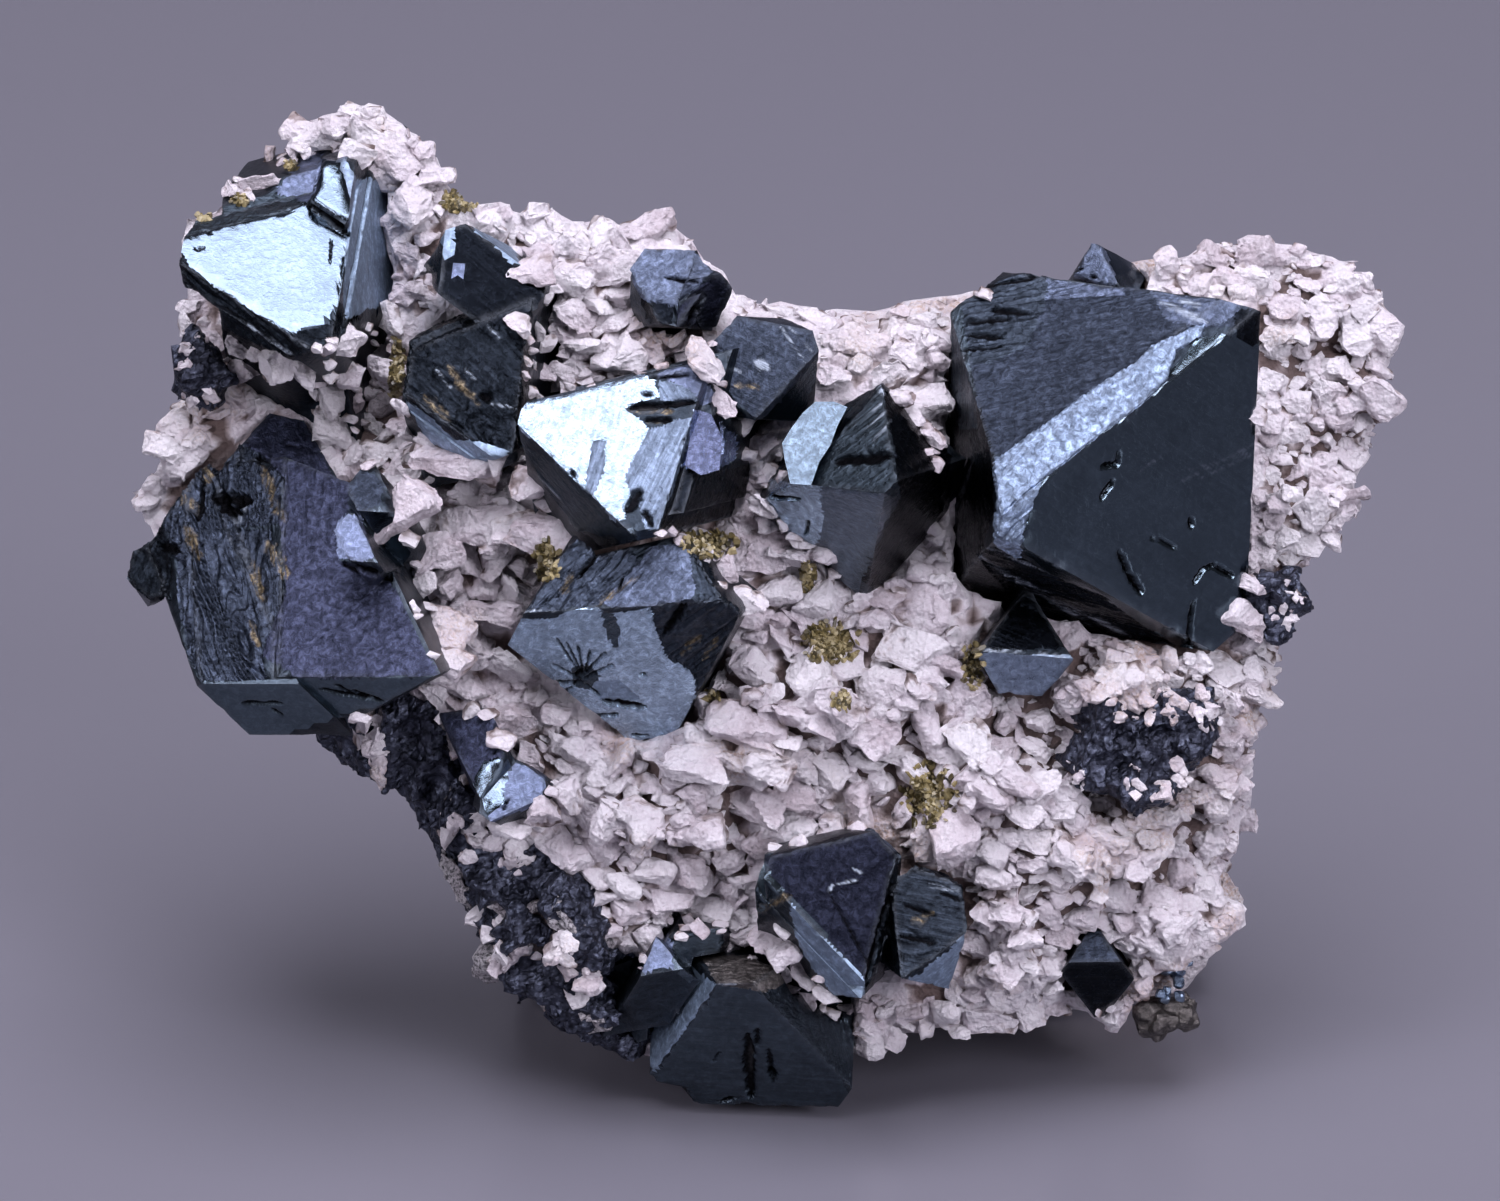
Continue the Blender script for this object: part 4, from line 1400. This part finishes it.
def looks(values, along):
    """The marks that give triangles their finish and the direction of their striation."""
    return {**dict(zip(FACE_LOOK, values.T)), "along": along}


def unmarked(count):
    """The marks of points without lines and worn edges."""
    return {name: np.zeros(count) for name in ("slit", "glint", "brown", "worn")}


def build_crystal(node, material):
    """A crystal of the frame with the fine shape and the finish of its faces."""
    outline, areas, lines = CRYSTALS[node]
    points, faces = solid_of(node)
    owner, normals = facets_of(points, faces)
    table = np.array([FINISHES[finish] for _, finish, _, _ in areas] + [FINISHES["plain"]])

    def seen_area(centres, own):
        spots = seen(centres)
        at = area_at(spots, areas)
        at[normals[own] @ OUT < TO_FRONT] = -1
        return spots, at

    def size_of(centres, own):
        spots, at = seen_area(centres, own)
        size = table[at, MESH_SIZE]
        near = np.full(len(spots), FAR)
        for start, end, width, _ in lines:
            near = np.minimum(near, line_distance(spots, start, end)[0] - width * 0.6)
        fine = np.clip(LINE_MESH + (near - 0.1) * LINE_GROWTH, LINE_MESH, 9.0)
        if node in LOWER_EDGES:
            fine = np.minimum(fine, EDGE_MESH + EDGE_GROWTH * np.abs(under_edge(node, spots)))
        return np.where(normals[own] @ OUT > TO_FRONT, np.minimum(size, fine), size) * MESH_FACTOR

    points, faces, owner = refine(points, faces, owner, size_of)
    _, at = seen_area(points[faces].mean(axis=1), owner)
    angles = np.radians(np.array([direction for *_, direction, _ in areas] + [PLAIN_DIRECTION]))[at]
    along = np.cos(angles)[:, None] * RIGHT + np.sin(angles)[:, None] * UP
    along -= normals[owner] * np.einsum("ij,ij->i", along, normals[owner])[:, None]
    along /= np.maximum(np.linalg.norm(along, axis=1), 1e-6)[:, None]
    values = table[at]
    flat, marks = carve(points, faces, owner, normals, values, along, areas, lines, len(node))
    flat = sunk(flat, outline, MOST_SUNK.get(node, USUAL_SINK))
    if node in LOWER_EDGES:
        flat = flat + UP * np.clip(under_edge(node, seen(flat * MM)), 0.0, MOST_LIFTED)[:, None]
    return make_mesh(
        node + "_crystal", flat * MM, faces, material, "magnetite", facets=owner * MOST_AREAS + at,
        **looks(values, along), **marks,
    )


# Lines on the crystals: how deep or proud each kind is in millimetres.
LINE_DEPTH = {"slit": -0.38, "brown": -0.10, "glint": 0.05, "scratch": -0.015}
# How strongly a scratch glints.
SCRATCH_STRENGTH = 0.35

# Worn edges: the width of the wear on the shape and in the look, and its depth on whole and on chipped edges.
WEAR_WIDTH = 0.20
WORN_LOOK_WIDTH = 0.25
WEAR_DEPTH = 0.04
CHIP_DEPTH = 0.16

# Steps: the rising share of each, and how much their pattern is drawn out along the striation.
STEP_RISE = 0.72
DRAWN_OUT = 0.8


def carve(points, faces, owner, normals, values, along, areas, lines, seed):
    """Steps, worn edges, slits and ridges of a crystal. Gives the points in millimetres and their marks."""
    flat = points / MM
    outward, streak, mean = np.zeros_like(flat), np.zeros_like(flat), np.zeros((len(flat), 4))
    low, high = np.full(len(flat), 1 << 30), np.full(len(flat), -1)
    for i in range(3):
        corner = faces[:, i]
        np.add.at(outward, corner, normals[owner])
        np.add.at(streak, corner, along)
        np.add.at(mean, corner, np.column_stack((values[:, STEPS], np.ones(len(faces)))))
        np.minimum.at(low, corner, owner)
        np.maximum.at(high, corner, owner)
    outward /= np.maximum(np.linalg.norm(outward, axis=1), TINY)[:, None]
    depth, pitch, wave = (mean[:, i] / mean[:, 3] for i in range(3))
    streak /= np.maximum(np.linalg.norm(streak, axis=1), TINY)[:, None]
    across = np.cross(outward, streak)
    edge = low != high
    tree = KDTree(int(edge.sum()))
    for k, spot in enumerate(flat[edge]):
        tree.insert(spot, k)
    tree.balance()
    away = np.array([tree.find(spot)[2] for spot in flat])
    spots = seen(points)
    facing = outward @ OUT > 0.1
    stretched = flat - streak * np.einsum("ij,ij->i", flat, streak)[:, None] * DRAWN_OUT
    travel = np.einsum("ij,ij->i", flat, across) / pitch + rough_noise(stretched, 1.8, seed, 2) * wave
    saw = travel - np.floor(travel)
    tooth = np.minimum(saw / STEP_RISE, (1.0 - saw) / (1.0 - STEP_RISE))
    strength = step(noise(stretched, 2.0, seed + 3), -0.8, 0.4)
    push = -depth * (1.0 - tooth) * strength
    push += rough_noise(flat, 0.9, seed + 4, 3) * np.minimum(depth * 0.35, 0.17)
    chips = step(rough_noise(flat, 0.8, seed + 5, 2), 0.1, 1.0)
    push -= np.exp(-((away / WEAR_WIDTH) ** 2)) * (WEAR_DEPTH + CHIP_DEPTH * chips)
    for outline, _, _, lift in areas:
        if lift:
            rim = inside_depth(spots, outline) + noise(flat, 0.5, seed + 6) * 0.06
            push += lift * step(rim, -0.08, 0.12) * facing
    marks = unmarked(len(flat))
    for start, end, width, kind in lines:
        off, share = line_distance(spots, start, end)
        taper = 0.35 + 0.65 * np.sqrt(np.clip(np.minimum(share, 1.0 - share) * 4.0, 0.0, 1.0))
        reach = width * taper * 0.5
        off = off + noise(flat, 0.35, seed + 9) * reach * (0.9 if kind == "brown" else 0.45)
        mask = (1.0 - step(off, reach * 0.6, reach * 1.15 + 0.03)) * facing
        push += mask * LINE_DEPTH[kind] * min(1.0, 0.4 + width)
        if kind == "scratch":
            kind, mask = "glint", mask * SCRATCH_STRENGTH
        marks[kind] = np.maximum(marks[kind], mask)
    marks["worn"] = np.exp(-((away / WORN_LOOK_WIDTH) ** 2)) * (0.4 + 0.6 * chips)
    return flat + outward * push[:, None], marks


# Where a crystal is drawn back: from how far outside its outline, in millimetres, and how steeply.
SINK_START = 0.15
SINK_SLOPE = 2.4


def sunk(flat, outline, most):
    """Points in millimetres, drawn back into the rock where they lie outside the outline of the crystal."""
    spots = seen(flat * MM)
    out = np.where(inside(spots, outline), 0.0, edge_distance(spots, outline)) + noise(flat, 1.3, 12) * 0.15
    away = flat - EYE / MM
    away /= np.linalg.norm(away, axis=1)[:, None]
    flat = flat + away * np.clip((out - SINK_START) * SINK_SLOPE, 0.0, most)[:, None]
    return np.clip(flat, LOWEST, HIGHEST)


def build_block(node, outline, anchor, lift, normal, finish, direction, material):
    """A flat facet, given by its outline as seen, on a short body that sinks into its crystal."""
    tilt = RIGHT * normal[0] + UP * normal[1] + OUT * normal[2]
    tilt /= np.linalg.norm(tilt)
    origin = look_at(*anchor)[1] + OUT * lift * MM
    aims = [place(x, w, 0.0) - EYE for x, w in outline]
    front = np.array([EYE + aim * (((origin - EYE) @ tilt) / (aim @ tilt)) for aim in aims])
    middle = front.mean(axis=0)
    back = middle + (front - middle) * BLOCK_TAPER - OUT * BLOCK_DEPTH * MM
    count = len(front)
    points = np.concatenate((front, back, [middle], [back.mean(axis=0)]))
    faces = []
    for i in range(count):
        j = (i + 1) % count
        faces += [(2 * count, j, i), (2 * count + 1, count + i, count + j)]
        faces += [(i, j, count + j), (i, count + j, count + i)]
    faces = np.array(faces)
    if normals_of(points, faces)[0][0] @ OUT < 0:
        faces = faces[:, ::-1]
    owner = np.array([0 if i % 4 == 0 else 1 + i // 4 for i in range(len(faces))])
    points, faces, owner = refine(points, faces, owner, lambda centres, own: np.full(len(own), BLOCK_MESH))
    values = np.tile(FINISHES[finish], (len(faces), 1))
    angle = math.radians(direction)
    along = np.tile(RIGHT * math.cos(angle) + UP * math.sin(angle), (len(faces), 1))
    return make_mesh(
        node + "_facet", points, faces, material, "magnetite", facets=owner, **looks(values, along),
        **unmarked(len(points)),
    )


def build_corner(material):
    """Little shiny crystals in the lower right corner, with a dull brown lump under them."""
    rng = np.random.default_rng(SEED + 5)
    points, faces, values = [], [], []
    for finish, (x, w), depth, (wide, high, deep), count, (small, large), boxy in CORNER:
        shares = rng.uniform(-1, 1, (count, 3))
        spots = np.stack([place(x + wide * a, w + high * b, depth + deep * c) for a, b, c in shares])
        axes = np.stack([turned(rng, OUT, 1.0) for _ in spots])
        sizes = rng.uniform(small, large, (count, 1)) * rng.uniform(0.7, 1.0, (count, 3))
        own, own_faces, _ = lumps(spots / MM, axes, sizes, 5, SEED, boxy)
        if boxy > FUSED_FROM:
            own, own_faces = fused("lump", own, own_faces, 0.25)
        faces.append(own_faces + sum(len(part) for part in points))
        points.append(own)
        values.append(np.tile(FINISHES[finish], (len(own_faces), 1)))
    points = np.clip(np.concatenate(points), LOWEST, HIGHEST)
    values = np.concatenate(values)
    made = make_mesh(
        "magnetite_corner_crystals", points * MM, np.concatenate(faces), material, "magnetite",
        **looks(values, np.tile(RIGHT, (len(values), 1))), **unmarked(len(points)),
    )
    made.data.set_sharp_from_angle(angle=SHARP_CORNER)
    return made


def magnetite_material():
    """Grey-black magnetite with a metallic lustre. Each face has its own gloss, etching, lines and tint."""
    n = Nodes("magnetite_look")
    where = n.place()
    rough, etch, ridge, shine = n.mark("rough"), n.mark("etch"), n.mark("ridge"), n.mark("shine")
    along = n.mark("along", "Vector")
    lengthwise = n.vector("DOT_PRODUCT", where, along, output=1)
    pulled = n.vector("SUBTRACT", where, n.scaled(along, n.times(lengthwise, 0.93)))
    streaks = n.noise(pulled, 3.2, 5.0, 0.62)
    pits = n.noise(where, 1.9, 8.0, 0.70, 0.6)
    grain = n.noise(where, 6.0, 3.0, 0.6)
    broad = n.noise(where, 0.25, 3.0)
    mottle = n.ramp(pits, (0.36, 0.22), (0.5, 0.75), (0.64, 1.9))
    dull = n.mix(n.times(etch, 0.8), (1.0, 1.0, 1.0), mottle)
    lines = n.mix(
        n.times(ridge, 0.7), (1.0, 1.0, 1.0), n.ramp(streaks, (0.34, 0.3), (0.5, 0.8), (0.66, 1.8)),
    )
    tint = n.ramp(
        n.span(n.mark("tint"), -1.0, 1.0), (0.0, (0.22, 0.20, 0.19)), (0.5, (0.145, 0.195, 0.235)),
        (1.0, (0.155, 0.172, 0.30)),
    )
    colour = n.mix(1.0, dull, lines, "MULTIPLY")
    colour = n.mix(1.0, colour, tint, "MULTIPLY")
    colour = n.mix(1.0, colour, n.ramp(broad, (0.3, 0.85), (0.7, 1.1)), "MULTIPLY")
    colour = n.scaled(colour, shine)
    colour = n.mix(n.times(n.mark("worn"), 0.35), colour, (0.20, 0.22, 0.25))
    gold = n.ramp(
        pits, (0.36, (0.012, 0.009, 0.006)), (0.5, (0.085, 0.062, 0.032)), (0.64, (0.34, 0.27, 0.16)),
    )
    colour = n.mix(n.times(n.mark("brown"), n.span(streaks, 0.44, 0.56)), colour, gold)
    colour = n.mix(n.times(n.mark("glint"), n.span(streaks, 0.40, 0.62)), colour, (0.36, 0.41, 0.48))
    colour = n.mix(n.mark("slit"), colour, (0.004, 0.004, 0.005))
    gloss = n.plus(rough, n.times(n.minus(pits, 0.5), n.times(etch, 0.5)))
    gloss = n.plus(gloss, n.times(n.mark("worn"), 0.1))
    height = n.times(n.plus(pits, n.times(grain, 0.35)), etch)
    height = n.plus(height, n.times(streaks, ridge))
    normal = n.bump(height, 0.16 * MM, 0.9)
    metal = n.minus(1.0, n.times(n.mark("brown"), 0.6))
    return n.finish(Base_Color=colour, Metallic=metal, Roughness=gloss, Normal=normal)


# Granular magnetite and epidote


def granular_material():
    """Dark blue-black granular magnetite."""
    n = Nodes("granular_magnetite_look")
    where = n.place()
    pits = n.noise(where, 2.4, 6.0, 0.6)
    tone = n.mark("tone")
    value = n.plus(pits, n.times(tone, 0.16))
    colour = n.ramp(
        value, (0.3, (0.010, 0.011, 0.018)), (0.6, (0.050, 0.055, 0.080)), (0.8, (0.16, 0.18, 0.24)),
    )
    normal = n.bump(pits, 0.14 * MM, 0.9)
    gloss = n.span(pits, 0.3, 0.7, 0.24, 0.55)
    return n.finish(Base_Color=colour, Metallic=0.85, Roughness=gloss, Normal=normal)


def epidote_material():
    """Golden-green glassy epidote."""
    n = Nodes("epidote_look")
    where = n.place()
    value = n.plus(n.noise(where, 1.6, 4.0), n.times(n.mark("tone"), 0.22))
    colour = n.ramp(
        value, (0.3, (0.060, 0.048, 0.018)), (0.5, (0.20, 0.155, 0.060)), (0.72, (0.44, 0.37, 0.21)),
    )
    return n.finish(Base_Color=colour, Roughness=0.34, Specular_IOR_Level=0.6, Transmission_Weight=0.1)


# Grains of the granular masses: how many on a square millimetre, their size in millimetres and how freely
# they turn. They lie only on faces that aren't turned further back than this.
GRANULAR_DENSITY = 1.1
GRANULAR_SIZES = (0.8, 2.1)
GRANULAR_TURN = 0.8
GRANULAR_BACK = -0.3

# On the flank more of them lie in this part of the face.
FLANK_SPAN = ((-34, -6), (-33, -7))
FLANK_TRIES = 2600


def build_granular(node, carriers, material):
    """Small dark grains, grown together, over a granular mass of the frame."""
    points, faces = solid_of(node)
    normals, areas = normals_of(points, faces)
    rng = np.random.default_rng(SEED + len(node))
    weight = areas * (normals @ OUT > GRANULAR_BACK)
    count = int(weight.sum() / MM**2 * GRANULAR_DENSITY)
    pick, spots = scattered(rng, points, faces, weight, count)
    axes = np.stack([turned(rng, normals[k], GRANULAR_TURN) for k in pick])
    if node.endswith("flank"):
        found = [look_at(x, w, carriers) for x, w in dark_spots(rng)]
        found = [hit for hit in found if hit and hit[0] == "feldspar_body"]
        spots = np.concatenate((spots, [hit[1] / MM for hit in found]))
        axes = np.concatenate((axes, [turned(rng, hit[2], GRANULAR_TURN) for hit in found]))
    size = rng.uniform(*GRANULAR_SIZES, size=(len(spots), 1))
    sizes = size * rng.uniform(0.6, 1.0, size=(len(spots), 3))
    grains, grain_faces, _ = lumps(spots, axes, sizes, 4, SEED + len(node))
    all_points = np.concatenate((points / MM, grains))
    all_faces = np.concatenate((faces, grain_faces + len(points)))
    grains, grain_faces = fused("grains", all_points, all_faces, 0.32)
    coarse, fine = (0.8, 0.14), (0.45, 0.06)
    return crumbled(node + "_grains", grains, grain_faces, coarse, fine, 0.05, material, "granular_magnetite")


def dark_spots(rng):
    """Seen spots on the dark flank of the rock."""
    spots = spread_spots(rng, FLANK_TRIES, FLANK_SPAN)
    return spots[inside(spots, DARK_FLANK) & inside(spots, OUTLINE)]


def prism_mesh(rng, root, aim, length, thick):
    """One six-sided prism with a slanted end."""
    side = np.cross(aim, rng.normal(size=3))
    side /= np.linalg.norm(side)
    other = np.cross(aim, side)
    turn = np.arange(6) * math.pi / 3 + rng.uniform(0, 1)
    circle = side * np.cos(turn)[:, None] + other * (np.sin(turn) * rng.uniform(0.5, 1.0))[:, None]
    slant = (np.cos(turn) * rng.uniform(-0.6, 0.6))[:, None] * aim * thick
    points = np.concatenate((root + circle * thick * 0.5, root + aim * length + circle * thick * 0.4 + slant))
    faces = []
    for i in range(6):
        j = (i + 1) % 6
        faces += [(i, j, 6 + j), (i, 6 + j, 6 + i)]
    faces += [(6, 6 + i, 6 + i + 1) for i in range(1, 5)] + [(0, i + 1, i) for i in range(1, 5)]
    return points, np.array(faces)


# Epidote: the node, then its patches as they are seen: middle, reach to the right and up, and how many
# prisms.
EPIDOTE = {
    "epidote_top": (((-20.9, 28.7), 1.3, 0.8, 150),),
    "epidote_upper_left": (((-25.4, 16.6), 0.5, 2.2, 150), ((-39.5, 27.6), 0.9, 0.35, 40),
        ((-36.6, 28.8), 0.7, 0.4, 40), ((-33.0, 31.3), 0.4, 0.5, 30)),
    "epidote_centre": (((-14.6, 2.9), 0.9, 1.4, 160), ((-2.9, 4.1), 2.0, 0.9, 150)),
    "epidote_middle": (((5.8, -3.0), 2.1, 1.5, 230), ((4.1, 1.8), 0.5, 1.0, 60), ((6.5, -7.2), 0.7, 0.7, 50),
        ((-2.7, -6.8), 0.6, 0.4, 30)),
    "epidote_lower": (((12.9, -14.0), 2.0, 2.3, 260), ((16.0, -4.6), 0.8, 1.7, 110)),
}

# The prisms: length and thickness in millimetres, how much of the length is rooted, and how they spread over
# a patch.
PRISM_LENGTHS = (0.35, 0.75)
PRISM_THICKNESS = (0.30, 0.66)
ROOTED = 0.6
PATCH_SPREAD = 0.42


def build_epidote(node, patches, trees, material):
    """Patches of small stubby prisms on whatever carries them."""
    rng = np.random.default_rng(SEED + len(node) * 3)
    parts, corners, tones, total = [], [], [], 0
    for (x, w), wide, high, count in patches:
        for _ in range(count):
            off = rng.normal(size=2) * PATCH_SPREAD
            off /= max(float(np.linalg.norm(off)), 1.0)
            hit = look_at(x + wide * off[0], w + high * off[1], trees)
            if hit is None:
                continue
            aim = hit[2] * 0.5 + OUT * 0.5 + UP * 0.4 + rng.normal(size=3) * 0.6
            aim /= np.linalg.norm(aim)
            length = rng.uniform(*PRISM_LENGTHS)
            root = hit[1] / MM - aim * length * ROOTED
            points, faces = prism_mesh(rng, root, aim, length, rng.uniform(*PRISM_THICKNESS))
            parts.append(points)
            corners.append(faces + total)
            tones.append(np.full(len(points), rng.uniform(-1, 1)))
            total += len(points)
    return make_mesh(
        node + "_prisms", np.concatenate(parts) * MM, np.concatenate(corners), material, "epidote",
        smooth=False, tone=np.concatenate(tones),
    )


# The build


def skins(pieces):
    """What rays meet of each piece."""
    graph = bpy.context.evaluated_depsgraph_get()
    return {piece.name: BVHTree.FromObject(piece, graph) for piece in pieces}


# How far the pieces may reach past the box of the solids, in millimetres.
ROUND_THE_BOX = 0.6
low_before, high_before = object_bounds()
LOWEST = np.array(low_before) / MM - (ROUND_THE_BOX, ROUND_THE_BOX, 0.0)
HIGHEST = np.array(high_before) / MM + ROUND_THE_BOX

feldspar = feldspar_material()
magnetite = magnetite_material()
granular = granular_material()
epidote = epidote_material()

body = build_body(feldspar)
crystals = {node: build_crystal(node, magnetite) for node in CRYSTALS}
crystals["magnetite_corner"] = build_corner(magnetite)
blocks = [(node, build_block(node, *block, magnetite)) for node, *block in BLOCKS]
carriers = skins([body])
granular_nodes = [node for node in sorted(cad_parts) if node.startswith("granular")]
masses = {node: build_granular(node, carriers, granular) for node in granular_nodes}
carriers = skins([body, *crystals.values()] + [piece for _, piece in blocks] + list(masses.values()))
strips = build_crust(carriers, feldspar)
carriers.update(skins(strips))
for piece in [body] + strips:
    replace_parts(piece, "feldspar_matrix")
for node, piece in [*crystals.items(), *blocks, *masses.items()]:
    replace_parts(piece, node)
for node, patches in EPIDOTE.items():
    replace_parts(build_epidote(node, patches, carriers, epidote), node)

# Floor, light and camera


def floor_material():
    """Plain pale floor."""
    n = Nodes("floor_look")
    return n.finish(Base_Color=(0.144, 0.139, 0.165), Roughness=0.3, Specular_IOR_Level=0.4)


# The floor, in metres: how far it reaches to the front and to each side, where it starts to bend up, how
# wide the bend is in how many steps, how high the backdrop rises, and how far it lies under the specimen.
FLOOR_REACH = 1.6
FLOOR_SIDE = 2.2
BEND_START = 0.35
BEND = 0.5
BEND_STEPS = 12
BACKDROP_RISE = 1.4
UNDER_SPECIMEN = 0.0002


def build_floor():
    """A floor that curves up into a backdrop."""
    profile = [(-FLOOR_REACH, 0.0), (BEND_START, 0.0)]
    for i in range(1, BEND_STEPS + 1):
        angle = i / BEND_STEPS * math.pi / 2
        profile.append((BEND_START + BEND * math.sin(angle), BEND - BEND * math.cos(angle)))
    profile.append((BEND_START + BEND, BACKDROP_RISE))
    points = np.array([(side * FLOOR_SIDE, y, z - UNDER_SPECIMEN) for y, z in profile for side in (-1, 1)])
    faces = []
    for i in range(len(profile) - 1):
        a = 2 * i
        faces += [(a, a + 1, a + 3), (a, a + 3, a + 2)]
    mesh = bpy.data.meshes.new("floor")
    mesh.from_pydata(points.tolist(), [], faces)
    mesh.polygons.foreach_set("use_smooth", np.ones(len(mesh.polygons), bool))
    mesh.materials.append(floor_material())
    made = bpy.data.objects.new("floor", mesh)
    bpy.context.scene.collection.objects.link(made)


KEY_COLOUR = (0.90, 0.88, 1.0)

# Lights: name, spot, what they face, width and height in metres, and power in watts.
LIGHTS = (
    ("overhead", (0.036, -0.35, 1.2), (0.036, -0.35, 0.0), (0.84, 1.22), 27.0),
    ("left", (-1.1, -0.9, 0.7), (0.0, 0.0, 0.03), (0.5, 0.7), 10.0),
    ("right", (1.0, -1.2, 0.7), (0.0, 0.0, 0.03), (0.6, 0.6), 20.0),
)
# Light from all round.
WORLD_COLOUR = (0.29, 0.28, 0.33, 1.0)
WORLD_STRENGTH = 0.3

build_floor()
for light in LIGHTS:
    soft_box(*light, KEY_COLOUR)

world = bpy.data.worlds.new("surroundings")
world.use_nodes = True
world.node_tree.nodes["Background"].inputs["Color"].default_value = WORLD_COLOUR
world.node_tree.nodes["Background"].inputs["Strength"].default_value = WORLD_STRENGTH
bpy.context.scene.world = world

camera_data = bpy.data.cameras.new("camera")
camera_data.sensor_width = SENSOR
camera_data.lens = SENSOR * SEEN_FROM / PICTURE_WIDTH
camera_data.clip_start = CLIP_START
camera = bpy.data.objects.new("camera", camera_data)
camera.location = EYE
camera.rotation_euler = Vector((-OUT).tolist()).to_track_quat("-Z", "Y").to_euler()
bpy.context.scene.collection.objects.link(camera)
bpy.context.scene.camera = camera
bpy.context.scene.view_settings.view_transform = "Standard"
